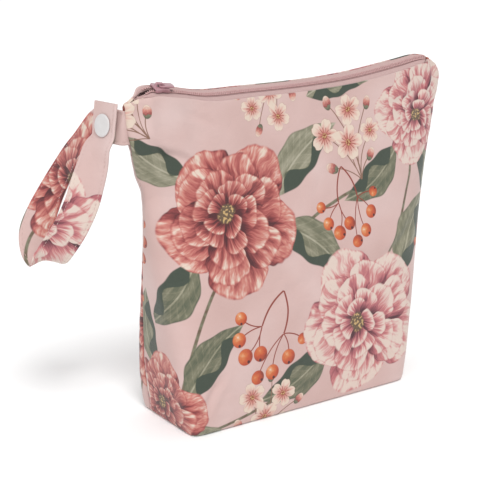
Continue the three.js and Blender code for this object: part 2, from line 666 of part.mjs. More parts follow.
// Depths of the stacked layers below the cap's crown
const freeFace = SNAP_CAP_HEIGHT + FIT;
const socketFace = freeFace + STRAP_THICKNESS + FIT;
const studFace = socketFace + SNAP_SOCKET_HEIGHT + FIT;
const rootFace = studFace + SNAP_STUD_HEIGHT + FIT;
const backCapFace = rootFace + STRAP_THICKNESS + FIT;

function snapPlace(depth, side, down) {
  return snapMiddle
    .clone()
    .addScaledVector(snapAxis, -depth)
    .addScaledVector(snapSide, side)
    .addScaledVector(snapDown, down);
}

// Places along the strap with the direction of its width at each
function strapStations() {
  const free = freeFace + STRAP_THICKNESS / 2;
  const root = rootFace + STRAP_THICKNESS / 2;
  const flat = 0.5 * SNAP_DIAMETER;
  const stations = [
    { point: snapPlace(free, 0, -2 * flat), width: snapSide },
    { point: snapPlace(free, 0, -flat), width: snapSide },
    { point: snapPlace(free, 0, 0), width: snapSide },
    { point: snapPlace(free, 0, flat), width: snapSide },
  ];
  for (const row of STRAP_ROUTE) {
    stations.push({
      point: snapMiddle.clone().add(new THREE.Vector3(-row.out, row.back, -row.down).multiplyScalar(STRAP_DROP)),
      width: new THREE.Vector3(-row.out_w, row.back_w, -row.down_w),
    });
  }
  const seamX = -MOUTH_REACH_LEFT;
  const seamY = section.tip(strapHeight / BAG_HEIGHT) * HALF_DEPTH;
  const down = new THREE.Vector3(0, 0, -1);
  stations.push(
    { point: snapPlace(root, -1.4 * flat, 0), width: snapDown },
    { point: snapPlace(root, -flat, 0), width: snapDown },
    { point: snapPlace(root, -0.5 * flat, 0), width: snapDown },
    { point: snapPlace(root, 0, 0), width: snapDown },
    { point: snapPlace(root, 0.5 * flat, 0), width: snapDown },
    { point: snapPlace(root, flat, 0), width: snapDown },
    { point: new THREE.Vector3(seamX - STRAP_THICKNESS / 2, seamY, strapHeight), width: down },
    { point: new THREE.Vector3(seamX + STRAP_ROOT_DEPTH / 2, seamY, strapHeight), width: down },
    { point: new THREE.Vector3(seamX + STRAP_ROOT_DEPTH, seamY, strapHeight), width: down },
  );
  return stations;
}

function strapGeometry() {
  const stations = strapStations();
  const middle = new THREE.CatmullRomCurve3(stations.map(({ point }) => point), false, "centripetal");
  const width = new THREE.CatmullRomCurve3(stations.map((station) => station.width.clone().normalize()));
  const half = STRAP_WIDTH / 2;
  const thick = STRAP_THICKNESS / 2;
  const round = 0.5 * thick;
  const sections = steps(0, 1, STRAP_STEPS).map((place) => {
    const point = middle.getPoint(place);
    const along = middle.getTangent(place);
    const across = width.getPoint(place);
    across.addScaledVector(along, -across.dot(along)).normalize();
    const face = along.clone().cross(across).normalize();
    const at = (out, lift) => point.clone().addScaledVector(across, out).addScaledVector(face, lift);
    return [
      at(-half, -thick + round),
      at(-half + round, -thick),
      at(half - round, -thick),
      at(half, -thick + round),
      at(half, thick - round),
      at(half - round, thick),
      at(-half + round, thick),
      at(-half, thick - round),
    ];
  });
  const hole = (face) => {
    const tool = new THREE.CylinderGeometry(
      SNAP_POST_RADIUS + FIT,
      SNAP_POST_RADIUS + FIT,
      STRAP_THICKNESS + 2 * FIT,
      16,
    );
    const middleDepth = face + STRAP_THICKNESS / 2;
    tool.applyQuaternion(new THREE.Quaternion().setFromUnitVectors(new THREE.Vector3(0, 1, 0), snapAxis));
    return tool.translate(...snapPlace(middleDepth, 0, 0).toArray());
  };
  return cut(sweptGeometry(sections), [hole(freeFace), hole(rootFace)]);
}

// Snap parts are turned on a lathe about their axis, with heights measured down from the crown.
function turned(profile) {
  const points = profile.map(([radius, depth]) => new THREE.Vector2(radius, -depth));
  return new THREE.LatheGeometry(points, ROUND_SIDES);
}

function snapCapGeometry() {
  const radius = SNAP_DIAMETER / 2;
  const postEnd = socketFace + SNAP_SOCKET_HEIGHT / 2 - FIT;
  return turned([
    [0, postEnd],
    [SNAP_POST_RADIUS, postEnd],
    [SNAP_POST_RADIUS, SNAP_CAP_HEIGHT],
    [radius, SNAP_CAP_HEIGHT],
    [radius, 0.55 * SNAP_CAP_HEIGHT],
    [0.92 * radius, 0.22 * SNAP_CAP_HEIGHT],
    [0.6 * radius, 0.05 * SNAP_CAP_HEIGHT],
    [0, 0],
  ]);
}

function snapSocketGeometry() {
  const radius = SNAP_RING_DIAMETER / 2;
  const bore = SNAP_POST_RADIUS + FIT;
  const low = socketFace + SNAP_SOCKET_HEIGHT;
  return turned([
    [bore, low],
    [0.9 * radius, low],
    [radius, socketFace + 0.5 * SNAP_SOCKET_HEIGHT],
    [radius, socketFace],
    [bore, socketFace],
    [bore, low],
  ]);
}

function snapStudGeometry() {
  const radius = SNAP_RING_DIAMETER / 2;
  const nub = socketFace + SNAP_SOCKET_HEIGHT / 2;
  return turned([
    [0, studFace + SNAP_STUD_HEIGHT],
    [radius, studFace + SNAP_STUD_HEIGHT],
    [radius, studFace],
    [SNAP_POST_RADIUS, studFace],
    [SNAP_POST_RADIUS, nub],
    [0, nub],
  ]);
}

function snapBackCapGeometry() {
  const radius = SNAP_DIAMETER / 2;
  return turned([
    [0, backCapFace + SNAP_CAP_HEIGHT],
    [0.9 * radius, backCapFace + 0.8 * SNAP_CAP_HEIGHT],
    [radius, backCapFace + 0.4 * SNAP_CAP_HEIGHT],
    [radius, backCapFace],
    [SNAP_POST_RADIUS, backCapFace],
    [SNAP_POST_RADIUS, rootFace],
    [0, rootFace],
  ]);
}

const cloth = { color: 0xe3c4bf, roughness: 0.8, metalness: 0 };
const tapeCloth = { color: 0xd8b2b0, roughness: 0.85, metalness: 0 };
const nylon = { color: 0xc89696, roughness: 0.45, metalness: 0 };
const enamel = { color: 0xcd9ba8, roughness: 0.35, metalness: 0.3 };
const snapPlastic = { color: 0xe4e0e0, roughness: 0.3, metalness: 0 };

function piece(name, geometry, look) {
  const mesh = new THREE.Mesh(geometry, new THREE.MeshStandardMaterial(look));
  mesh.name = name;
  return mesh;
}

const bag = new THREE.Group();
bag.add(
  piece("front_panel", sheetGeometry(frontPanel.outer, frontPanel.inner), cloth),
  piece("back_panel", sheetGeometry(backPanel.outer, backPanel.inner), cloth),
  piece("zipper_tape_front", tapeGeometry(-1), tapeCloth),
  piece("zipper_tape_back", tapeGeometry(1), tapeCloth),
  piece("zipper_coil_front", coilGeometry(-1), nylon),
  piece("zipper_coil_back", coilGeometry(1), nylon),
  piece("strap", strapGeometry(), cloth),
);

const slider = new THREE.Group();
const sliderFrame = zipperFrame(sliderMiddle);
slider.position.copy(sliderFrame.middle);
slider.quaternion.setFromRotationMatrix(
  new THREE.Matrix4().makeBasis(sliderFrame.along, sliderFrame.across, sliderFrame.up),
);
slider.add(piece("slider", sliderGeometry(), enamel));
const pull = piece("pull_tab", pullGeometry(), enamel);
pull.position.set(-CROWN_SETBACK, 0, pullAxisHeight);
pull.rotation.y = THREE.MathUtils.degToRad(-PULL_REST_LIFT);
slider.add(pull);
bag.add(slider);

const snap = new THREE.Group();
snap.position.copy(snapMiddle);
snap.quaternion.setFromUnitVectors(new THREE.Vector3(0, 1, 0), snapAxis);
snap.add(
  piece("snap_cap", snapCapGeometry(), snapPlastic),
  piece("snap_socket", snapSocketGeometry(), snapPlastic),
  piece("snap_stud", snapStudGeometry(), snapPlastic),
  piece("snap_back_cap", snapBackCapGeometry(), snapPlastic),
);
bag.add(snap);

export default bag;
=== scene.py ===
import math

import bmesh
import bpy
from mathutils import Matrix, Vector, noise


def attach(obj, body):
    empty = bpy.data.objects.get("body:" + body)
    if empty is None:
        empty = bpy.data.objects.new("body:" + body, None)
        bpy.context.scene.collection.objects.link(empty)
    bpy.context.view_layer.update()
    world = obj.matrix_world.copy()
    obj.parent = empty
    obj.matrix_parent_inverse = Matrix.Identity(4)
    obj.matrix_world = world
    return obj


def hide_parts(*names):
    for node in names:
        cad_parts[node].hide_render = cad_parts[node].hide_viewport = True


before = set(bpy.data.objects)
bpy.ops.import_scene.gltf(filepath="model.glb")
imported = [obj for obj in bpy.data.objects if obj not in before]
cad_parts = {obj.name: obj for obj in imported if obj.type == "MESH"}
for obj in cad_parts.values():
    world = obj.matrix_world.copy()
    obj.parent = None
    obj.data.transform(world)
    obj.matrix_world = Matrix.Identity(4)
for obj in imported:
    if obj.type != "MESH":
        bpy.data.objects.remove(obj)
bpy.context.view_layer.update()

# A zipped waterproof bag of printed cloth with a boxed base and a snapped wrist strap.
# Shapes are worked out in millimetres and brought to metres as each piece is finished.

MM = 0.001
UP = Vector((0, 0, 1))

# Sizes of the bag, the same as in the part's source
BASE_WIDTH = 157
BASE_DEPTH = 59
BAG_HEIGHT = 188
MOUTH_REACH_LEFT = 105.5
MOUTH_REACH_RIGHT = 121
MOUTH_DEPTH = 14
MOUTH_RISE = 8
MOUTH_TILT_RISE = 2.2
CORNER_SEWN_LENGTH = 5.5
CORNER_PINCH_LENGTH = 12
BASE_EDGE_RADIUS = 2
CLOTH = 1.6
SEAM_GAP = 0.3
FIT = 0.3
ZIPPER_INSET_LEFT = 12
ZIPPER_INSET_RIGHT = 9
TAPE = 0.8
TAPE_LEG = 4.5
TAPE_SPLIT = 0.9
COIL_WIDTH = 1.7
COIL_PITCH = 1.25
OPEN_END_SPREAD = 1
SLIDER_LENGTH = 9.6
SLIDER_PLATE = 0.8
SLIDER_TIP_LENGTH = 3.8
SLIDER_POST_RADIUS = 0.6
SLIDER_SETBACK = 6
STRAP_WIDTH = 18.6
STRAP_THICKNESS = 1.6
STRAP_DROP = 78
STRAP_BELOW_MOUTH = 11.5
STRAP_HEIGHT = BAG_HEIGHT - STRAP_BELOW_MOUTH
STRAP_ROOT_DEPTH = 9
SNAP_DIAMETER = 12.4
SNAP_CAP_HEIGHT = 1
SNAP_RING_DIAMETER = 10
SNAP_SOCKET_HEIGHT = 1.2
SNAP_STUD_HEIGHT = 0.7
SNAP_POST_RADIUS = 1.5
SNAP_OUT = 10
SNAP_BACK = 1.4
SNAP_RAISE = 1.5
SNAP_TURN = 10
SNAP_LEAN = 9

# The hollow's outline at each height, as shares of the bag's named sizes
SECTION_COLUMNS = ("height", "left", "right", "front", "back", "flat", "square", "seam", "tip")
SECTIONS = (
    (0.0, 0.02, 0.02, 0.0, 0.0, 30, 20, 0.66, 0),
    (0.08, 0.12, 0.09, -0.03, -0.03, 20, 13, 0.62, 0),
    (0.16, 0.2, 0.17, -0.01, -0.01, 14, 9, 0.58, 0),
    (0.26, 0.26, 0.28, 0.05, 0.04, 9.5, 6.5, 0.52, 0),
    (0.37, 0.31, 0.41, 0.14, 0.12, 6.5, 4.6, 0.45, 0),
    (0.5, 0.39, 0.57, 0.28, 0.26, 4.6, 3.1, 0.3, 0),
    (0.62, 0.44, 0.72, 0.45, 0.42, 3.8, 2.3, 0.14, 0),
    (0.7, 0.48, 0.81, 0.57, 0.54, 3.4, 1.95, 0.05, 0),
    (0.745, 0.55, 0.86, 0.64, 0.61, 3.2, 1.8, 0.02, -0.02),
    (0.785, 0.69, 0.9, 0.7, 0.67, 3.1, 1.7, 0, -0.06),
    (0.83, 0.8, 0.95, 0.77, 0.74, 3.2, 1.6, 0, -0.12),
    (0.885, 0.91, 1.0, 0.85, 0.83, 3.6, 1.5, 0, -0.19),
    (0.94, 0.97, 1.06, 0.93, 0.92, 4.6, 1.5, 0, -0.19),
    (0.975, 0.99, 1.08, 0.98, 0.98, 5.6, 1.5, 0, -0.19),
    (1.0, 1.0, 1.0, 1.0, 1.0, 6.5, 1.5, 0, -0.19),
)

# Along the mouth from left to right, how much of its full rise the rim has
RIM = (
    (0.0, 0.15), (0.025, 0.5), (0.05, 0.78), (0.075, 0.85), (0.1, 0.75), (0.13, 0.62), (0.16, 0.47),
    (0.227, 0.13), (0.347, 0.06), (0.55, 0.05), (0.7, 0.25), (0.87, 0.83), (0.95, 1.15), (0.98, 1.1),
    (1.0, 0.6),
)

# Soft dents and swellings of the two panels: along, height, wide, tall, and deep in cloth thicknesses
FRONT_DENTS = (
    (0.17, 0.93, 0.05, 0.1, 1.0), (0.1, 0.84, 0.06, 0.05, 1.2), (0.2, 0.76, 0.16, 0.035, -1.0),
    (0.24, 0.66, 0.18, 0.04, 0.9), (0.2, 0.53, 0.14, 0.05, -0.7), (0.55, 0.9, 0.3, 0.08, 0.8),
    (0.92, 0.9, 0.07, 0.09, 1.0), (0.72, 0.5, 0.3, 0.14, -1.2), (0.4, 0.3, 0.3, 0.1, -0.9),
)
BACK_DENTS = (
    (0.12, 0.86, 0.07, 0.07, 1.0), (0.45, 0.68, 0.3, 0.06, 1.1), (0.7, 0.45, 0.25, 0.1, -1.1),
    (0.3, 0.35, 0.25, 0.1, -1.0), (0.88, 0.84, 0.08, 0.08, 1.0),
)

# The strap's middle line, in shares of the drop, and the direction of its width
STRAP_ROUTE = (
    (0.031, 0.011, 0.159, -0.30, -0.95, 0.13),
    (0.067, 0.017, 0.282, -0.53, -0.83, 0.21),
    (0.101, 0.025, 0.391, -0.67, -0.69, 0.27),
    (0.147, 0.043, 0.544, -0.82, -0.56, 0.1),
    (0.207, 0.097, 0.711, -0.82, -0.57, 0.04),
    (0.261, 0.168, 0.845, -0.82, -0.57, 0),
    (0.297, 0.236, 0.935, -0.82, -0.57, 0),
    (0.315, 0.306, 0.967, -0.82, -0.57, 0),
    (0.328, 0.385, 0.918, -0.82, -0.57, 0),
    (0.310, 0.450, 0.810, -0.78, -0.63, 0.02),
    (0.237, 0.470, 0.663, -0.58, -0.8, 0.12),
    (0.155, 0.460, 0.511, -0.27, -0.93, 0.24),
    (0.083, 0.404, 0.349, -0.02, -0.92, 0.39),
    (0.041, 0.313, 0.212, 0.17, -0.84, 0.5),
)


def mix(low, high, share):
    return low + (high - low) * share


def smoothstep(value, low, high):
    share = min(1.0, max(0.0, (value - low) / (high - low)))
    return share * share * (3 - 2 * share)


def signed_power(value, exponent):
    return math.copysign(abs(value) ** exponent, value)


def smooth_column(places, values):
    """A smooth function through a table's column, flat in curvature at both of its ends."""

    def at(place):
        if place <= places[0]:
            return values[0]
        if place >= places[-1]:
            return values[-1]
        after = next(index for index, known in enumerate(places) if known > place)
        before = after - 1
        start, end = places[before], places[after]
        half = (end - start) / 2
        first, last = before == 0, after == len(places) - 1
        weight_before = -0.5 if first else half / (start - places[before - 1])
        weight_after = -0.5 if last else half / (places[after + 1] - end)
        value_before = values[after] if first else values[before - 1]
        value_after = values[before] if last else values[after + 1]
        part = (place - start) / (end - start)
        square, cube = part ** 2, part ** 3
        return (
            (-weight_before * cube + 2 * weight_before * square - weight_before * part) * value_before
            + ((1 + weight_before) * cube - (1.5 + 2 * weight_before) * square
               + (weight_before - 0.5) * part + 1) * values[before]
            + (-(1 + weight_after) * cube + (1.5 + weight_after) * square + 0.5 * part) * values[after]
            + (weight_after * cube - weight_after * square) * value_after
        )

    return at


section_heights = [row[0] for row in SECTIONS]
section = {
    name: smooth_column(section_heights, [row[index] for row in SECTIONS])
    for index, name in enumerate(SECTION_COLUMNS)
    if index
}
rim_rise = smooth_column([row[0] for row in RIM], [row[1] for row in RIM])
HALF_DEPTH = BASE_DEPTH / 2

# The bag's cloth
PINCHED_FROM = 0.86
OUTLINE_STEPS = 500
BESIDE_SEAM = (0, 0.35 * CLOTH, 1.1 * CLOTH)


def dent_depth(dents, along, height):
    """How far the dents press the cloth in, and the swellings out, at one place of a panel."""
    total = 0.0
    for place, level, wide, tall, deep in dents:
        across = (along - place) * (MOUTH_REACH_LEFT + MOUTH_REACH_RIGHT) / (wide * BASE_WIDTH)
        upward = (height - level) / tall
        total += deep * CLOTH * math.exp(-across * across - upward * upward)
    return total


def outline_at(height):
    """The named sizes of the hollow's outline at a height from 0 to 1."""
    half_mouth = MOUTH_DEPTH / 2
    return {
        "left": -mix(BASE_WIDTH / 2, MOUTH_REACH_LEFT, section["left"](height)) + CLOTH,
        "right": mix(BASE_WIDTH / 2, MOUTH_REACH_RIGHT, section["right"](height)) - CLOTH,
        "front": mix(HALF_DEPTH - CLOTH, half_mouth, section["front"](height)),
        "back": mix(HALF_DEPTH - CLOTH, half_mouth, section["back"](height)),
        "flat": section["flat"](height),
        "square": section["square"](height),
        "tip": section["tip"](height) * HALF_DEPTH,
        "pinch": smoothstep(height, PINCHED_FROM, 1),
    }


def outline_point(outline, angle):
    left, right = outline["left"], outline["right"]
    half = (right - left) / 2
    x = (left + right) / 2 - half * signed_power(math.cos(angle), 2 / outline["flat"])
    depth = outline["front"] if math.sin(angle) > 0 else outline["back"]
    opened = smoothstep(min(x - left, right - x), CORNER_SEWN_LENGTH, CORNER_PINCH_LENGTH)
    pinched = 1 - outline["pinch"] * (1 - opened)
    lean = outline["tip"] * (1 - (x - left) / (2 * half)) ** 3
    return Vector((x, lean - pinched * depth * signed_power(math.sin(angle), 2 / outline["square"])))


def outline_row(outline, start, end, columns):
    """Points from one seam to the other, close together beside both seams and evenly spaced between.

    Each comes with its outward direction, its length from the front's or back's middle and its
    distance from the nearer seam.
    """
    shares = [step / OUTLINE_STEPS for step in range(OUTLINE_STEPS + 1)]
    dense = [outline_point(outline, mix(start, end, share)) for share in shares]
    lengths = [0.0]
    for before, after in zip(dense, dense[1:]):
        lengths.append(lengths[-1] + (after - before).length)
    total = lengths[-1]
    middle = 0.0
    for index in range(OUTLINE_STEPS):
        before, after = dense[index].x, dense[index + 1].x
        if before * after <= 0 and before != after:
            middle = mix(lengths[index], lengths[index + 1], before / (before - after))
    inner = BESIDE_SEAM[-1]
    span = total - 2 * inner
    strides = columns + 1 - 2 * len(BESIDE_SEAM)
    places = [*BESIDE_SEAM, *(inner + span * index / strides for index in range(1, strides))]
    places += [total - length for length in reversed(BESIDE_SEAM)]
    seam_side = -1 if math.cos(start) > 0 else 1
    samples = []
    search = 1
    for index, place in enumerate(places):
        while search < OUTLINE_STEPS and lengths[search] < place - 1e-9:
            search += 1
        share = (place - lengths[search - 1]) / (lengths[search] - lengths[search - 1])
        point = dense[search - 1].lerp(dense[search], share)
        tangent = (dense[search] - dense[search - 1]).normalized()
        outward = Vector((tangent.y, -tangent.x))
        from_end = min(index, len(places) - 1 - index)
        side = seam_side if index < len(places) / 2 else -seam_side
        turned_out = (1, 0.5, 0)[min(from_end, 2)]
        outward = outward.lerp(Vector((side, 0)), turned_out).normalized()
        samples.append((point, outward, place - middle, min(place, total - place)))
    return samples


STRAP_LOW = (STRAP_HEIGHT - STRAP_WIDTH / 2 - CLOTH) / BAG_HEIGHT
STRAP_HIGH = (STRAP_HEIGHT + STRAP_WIDTH / 2) / BAG_HEIGHT
STRAP_SLIT = STRAP_THICKNESS / 2 + 1.5 * FIT - SEAM_GAP / 2
SLIT_EASE_BELOW = 0.025
SLIT_EASE_ABOVE = 0.004
TILT_EASE = 0.06


def strap_parting(height, x, left):
    """How far the two panels part at the left corner to let the strap's root in."""
    below = smoothstep(height, STRAP_LOW - SLIT_EASE_BELOW, STRAP_LOW)
    above = 1 - smoothstep(height, STRAP_HIGH + SLIT_EASE_ABOVE, 1)
    near = 1 - smoothstep(x - left, STRAP_ROOT_DEPTH, 2 * STRAP_ROOT_DEPTH)
    return STRAP_SLIT * below * above * near


def rim_height(along, side):
    """How high the mouth's edge stands above the walls' height."""
    tilt = MOUTH_TILT_RISE * side * smoothstep(min(along, 1 - along), 0, TILT_EASE)
    return MOUTH_RISE * rim_rise(along) + tilt


def panel_row(height, side, columns):
    """One row of a panel's points. The left seam lies off the corner by the table's share."""
    outline = outline_at(height)
    share = min(1.0, max(0.0, section["seam"](height) * HALF_DEPTH / outline["back"]))
    seam = -math.asin(share ** (outline["square"] / 2))
    if side > 0:
        return outline, outline_row(outline, math.pi, 2 * math.pi + seam, columns)
    return outline, outline_row(outline, seam, math.pi, columns)


# Creases that the strap, the zipper and the base pull into the cloth: two ends, depth and width
CREASES = (
    ((-101, 170), (-76, 151), 1.9, 2.3), ((-88, 161), (-60, 149), 1.4, 2.1),
    ((-96, 158), (-85, 126), 1.4, 2.3), ((-76, 181), (-48, 172), 1.0, 2.1),
    ((-82, 124), (-52, 110), 1.1, 2.5), ((112, 186), (92, 166), 1.5, 2.3),
    ((104, 178), (74, 172), 1.0, 2.1), ((-72, 12), (-58, 34), 1.3, 2.3),
    ((68, 12), (56, 38), 1.1, 2.3), ((86, 98), (58, 82), 1.0, 2.9), ((20, 178), (50, 170), 0.8, 2.3),
)
CREASE_BOW = 0.06
CREASE_SWELL = 0.45


def crease_depth(place):
    """A sharp valley along each crease with a low swelling on both sides of it."""
    total = 0.0
    for (from_x, from_z), (to_x, to_z), depth, width in CREASES:
        run_x, run_z = to_x - from_x, to_z - from_z
        length = math.hypot(run_x, run_z)
        off_x, off_z = place.x - from_x, place.z - from_z
        share = (off_x * run_x + off_z * run_z) / length ** 2
        if not -0.2 < share < 1.2:
            continue
        bow = CREASE_BOW * length * math.sin(math.pi * share)
        across = abs((off_x * run_z - off_z * run_x) / length + bow) / width
        if across > 5:
            continue
        fade = smoothstep(share, -0.2, 0.25) * (1 - smoothstep(share, 0.5, 1.2))
        swell = CREASE_SWELL * math.exp(-((across - 2) ** 2))
        total += depth * fade * (math.exp(-across * across) - swell)
    return total


# The cloth's waves, and what its seams and the zipper gather
WIDE_WAVES = 0.6
RIDGES = 0.85
CROSS_RIDGES = 0.7
WAVES_BETWEEN_SIDES = 57
SEAM_VALLEY = 0.95
VALLEY_WIDTH = 0.95
SEAM_PUCKERS = 0.5
ZIPPER_GATHERS = 0.45


def crumple(point, along, height, side):
    """Small soft waves of the laminated cloth, quiet along the seams and by the zipper."""
    quiet = min(1.0, 14 * along * (1 - along))
    quiet *= smoothstep(height, 0.0, 0.06) * (1 - smoothstep(height, 0.93, 0.99))
    place = Vector((point.x, side * WAVES_BETWEEN_SIDES, height * BAG_HEIGHT))
    wide = noise.noise(Vector((place.x / 31, place.y, place.z / 23)))
    drift = 14 * noise.noise(place / 40)
    ridge = abs(noise.noise(Vector(((place.x + 0.6 * place.z + drift) / 26, 3.7, (place.z + drift) / 60))))
    cross = abs(noise.noise(Vector(((place.x + drift) / 48, 8.1, (place.z - 0.3 * place.x) / 17))))
    waves = WIDE_WAVES * wide + RIDGES * (0.35 - ridge) + CROSS_RIDGES * (0.3 - cross)
    return quiet * (waves - crease_depth(place))


def seam_pull(place, from_seam, height, side):
    """The seams draw the cloth in, with small puckers beside them and under the zipper."""
    valley = SEAM_VALLEY * math.exp(-((from_seam / VALLEY_WIDTH) ** 2))
    valley *= 1 - smoothstep(height, 0.86, 0.93)
    pucker = noise.noise(Vector((place.x / 40, side * 11.3, place.z / 5.5)))
    beside = SEAM_PUCKERS * pucker * math.exp(-from_seam / 5) * (1 - math.exp(-from_seam / 1.5))
    under_zipper = (1 - height) * BAG_HEIGHT
    gather = noise.noise(Vector((place.x / 6.5, side * 4.9, 1.7)))
    gather *= math.exp(-under_zipper / 6) * (1 - math.exp(-under_zipper / 2))
    beside += ZIPPER_GATHERS * gather
    return beside * smoothstep(height, 0.0, 0.04) - valley


def wall_place(height, outline, sample, side, dents, thickness):
    """Where the wall's outer face lies, or its inner face, without waves, when the thickness is 0."""
    point, outward, _, from_seam = sample
    along = min(1.0, max(0.0, (point.x - outline["left"]) / (outline["right"] - outline["left"])))
    dent = dent_depth(dents, along, height) * min(1.0, 12 * along * (1 - along))
    ripple = 0.0
    if thickness:
        level = Vector((point.x, 0, height * BAG_HEIGHT))
        ripple = crumple(point, along, height, side) + seam_pull(level, from_seam, height, side)
    lifted = point + outward * (thickness + ripple)
    y = lifted.y + side * (SEAM_GAP / 2 + strap_parting(height, point.x, outline["left"]) - dent)
    return Vector((lifted.x, y, height * BAG_HEIGHT + rim_height(along, side) * height ** 8))


def finish_piece(bm, name, body, material, replaced=()):
    """Makes a piece of the scene from a shape in millimetres."""
    bmesh.ops.transform(bm, matrix=Matrix.Scale(MM, 4), verts=bm.verts)
    for face in bm.faces:
        face.smooth = True
    mesh = bpy.data.meshes.new(name)
    bm.to_mesh(mesh)
    bm.free()
    mesh.materials.append(material)
    piece = bpy.data.objects.new(name, mesh)
    bpy.context.scene.collection.objects.link(piece)
    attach(piece, body)
    if replaced:
        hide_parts(*replaced)
    return piece


def cloth_sheet(rows):
    """A sheet from rows of pairs: a place in space, and where it lay on the flat cloth.

    The places on the flat cloth become the sheet's UV map, in metres.
    """
    bm = bmesh.new()
    layer = bm.loops.layers.uv.new("cloth")
    across, up = len(rows[0]) - 1, len(rows) - 1
    bmesh.ops.create_grid(bm, x_segments=across, y_segments=up, size=1, calc_uvs=True)
    flat = {}
    for vert in bm.verts:
        row = rows[round((vert.co.y + 1) / 2 * up)]
        vert.co, flat[vert] = row[round((vert.co.x + 1) / 2 * across)]
    for face in bm.faces:
        for loop in face.loops:
            loop[layer].uv = Vector(flat[loop.vert]) * MM
    return bm


def close_ends(bm):
    """Joins points that meet, fills the open ends and turns every face outwards."""
    bmesh.ops.remove_doubles(bm, verts=bm.verts, dist=0.001)
    bmesh.ops.holes_fill(bm, edges=[edge for edge in bm.edges if edge.is_boundary], sides=0)
    bmesh.ops.recalc_face_normals(bm, faces=bm.faces)


def add_cloth_thickness(piece, thickness, rounding):
    """Gives a surface its thickness on the inner side and rounds the cut edges."""
    wall = piece.modifiers.new("thickness", "SOLIDIFY")
    wall.thickness = thickness * MM
    wall.offset = -1
    wall.use_even_offset = True
    edge = piece.modifiers.new("soft_edges", "BEVEL")
    edge.width = rounding * MM
    edge.segments = 3
    edge.limit_method = "ANGLE"
    edge.angle_limit = math.radians(50)


PANEL_COLUMNS = 190
BASE_ROWS = 12
EDGE_ROWS = 5
WALL_ROWS = 120
CLOTH_EDGE_ROUNDING = 0.55


def panel(side, dents, name, material, node):
    """Half the base, the edge that turns up from it, and the wall, as one piece of cloth."""
    _, foot = panel_row(0, side, PANEL_COLUMNS)
    shift = Vector((0, side * SEAM_GAP / 2, 0))
    first, last = foot[0][0], foot[-1][0]
    rows = []
    for row in range(BASE_ROWS):
        fill = row / (BASE_ROWS - 1)
        rows.append([])
        for index, (point, outward, length, _) in enumerate(foot):
            seam_point = first.lerp(last, index / (len(foot) - 1))
            edge_point = point - outward * (BASE_EDGE_RADIUS - CLOTH)
            place = seam_point.lerp(edge_point, fill).to_3d() + shift
            rows[-1].append((place, (length, -(1 - fill) * HALF_DEPTH - BASE_EDGE_RADIUS)))
    for row in range(EDGE_ROWS):
        turned_up = math.pi / 2 * (row + 1) / EDGE_ROWS
        reach = CLOTH - BASE_EDGE_RADIUS * (1 - math.sin(turned_up))
        rise = BASE_EDGE_RADIUS * (1 - math.cos(turned_up))
        rows.append([
            (Vector((*(point + outward * reach), rise)) + shift, (length, rise))
            for point, outward, length, _ in foot
        ])
    start = BASE_EDGE_RADIUS / BAG_HEIGHT
    for row in range(WALL_ROWS):
        height = mix(start, 1, (row + 1) / WALL_ROWS)
        outline, samples = panel_row(height, side, PANEL_COLUMNS)
        places = [wall_place(height, outline, sample, side, dents, CLOTH) for sample in samples]
        rows.append([(place, (sample[2], place.z)) for place, sample in zip(places, samples)])
    piece = finish_piece(cloth_sheet(rows), name, "bag", material, [node])
    add_cloth_thickness(piece, CLOTH, CLOTH_EDGE_ROUNDING)


# The mouth and the zipper's line
def rim_line(side, dents):
    """The inner edge of the mouth on one side, as a function of x."""
    outline, samples = panel_row(1, side, PANEL_COLUMNS)
    points = [wall_place(1, outline, sample, side, dents, 0) for sample in samples]
    points.sort(key=lambda point: point.x)

    def at(x):
        after = next((index for index, point in enumerate(points) if point.x >= x), len(points) - 1)
        after = max(1, after)
        before = points[after - 1]
        return before.lerp(points[after], (x - before.x) / (points[after].x - before.x))

    return at


front_rim = rim_line(-1, FRONT_DENTS)
back_rim = rim_line(1, BACK_DENTS)
ZIPPER_LEFT = -MOUTH_REACH_LEFT + ZIPPER_INSET_LEFT
ZIPPER_RIGHT = MOUTH_REACH_RIGHT - ZIPPER_INSET_RIGHT
SLIDER_MIDDLE = ZIPPER_LEFT + SLIDER_SETBACK + SLIDER_LENGTH / 2
POST_MIDDLE = SLIDER_MIDDLE - SLIDER_LENGTH / 2 + SLIDER_PLATE + SLIDER_POST_RADIUS


def squared(direction, along):
    """The direction, turned to stand at a right angle to another."""
    return (direction - along * direction.dot(along)).normalized()


def mouth_frame(x):
    """The middle of the mouth, its three directions and half its width."""
    front, back = front_rim(x), back_rim(x)
    ahead = (front_rim(x + 2) + back_rim(x + 2)) / 2
    behind = (front_rim(x - 2) + back_rim(x - 2)) / 2
    along = (ahead - behind).normalized()
    across = squared(back - front, along)
    return (front + back) / 2, along, across, along.cross(across), (front - back).length / 2


def zipper_frame(x):
    """The zipper's middle and directions, which stay straight inside the slider."""
    middle, along, across, _, _ = mouth_frame(x)
    held_middle, held_along, held_across, _, _ = mouth_frame(SLIDER_MIDDLE)
    beyond = abs(x - SLIDER_MIDDLE) - SLIDER_LENGTH / 2
    hold = 1 - smoothstep(beyond, FIT, SLIDER_LENGTH / 2)
    held_middle = held_middle + held_along * ((x - SLIDER_MIDDLE) / held_along.x)
    middle = middle.lerp(held_middle, hold)
    along = along.lerp(held_along, hold).normalized()
    across = squared(across.lerp(held_across, hold), along)
    return middle, along, across, along.cross(across)


def spread_at(x):
    """How far each half of the zipper lies off its middle, from the slider's post to the open end."""
    closed_from = POST_MIDDLE + SLIDER_POST_RADIUS + SLIDER_TIP_LENGTH / 2
    return OPEN_END_SPREAD * (1 - smoothstep(x, POST_MIDDLE, closed_from))


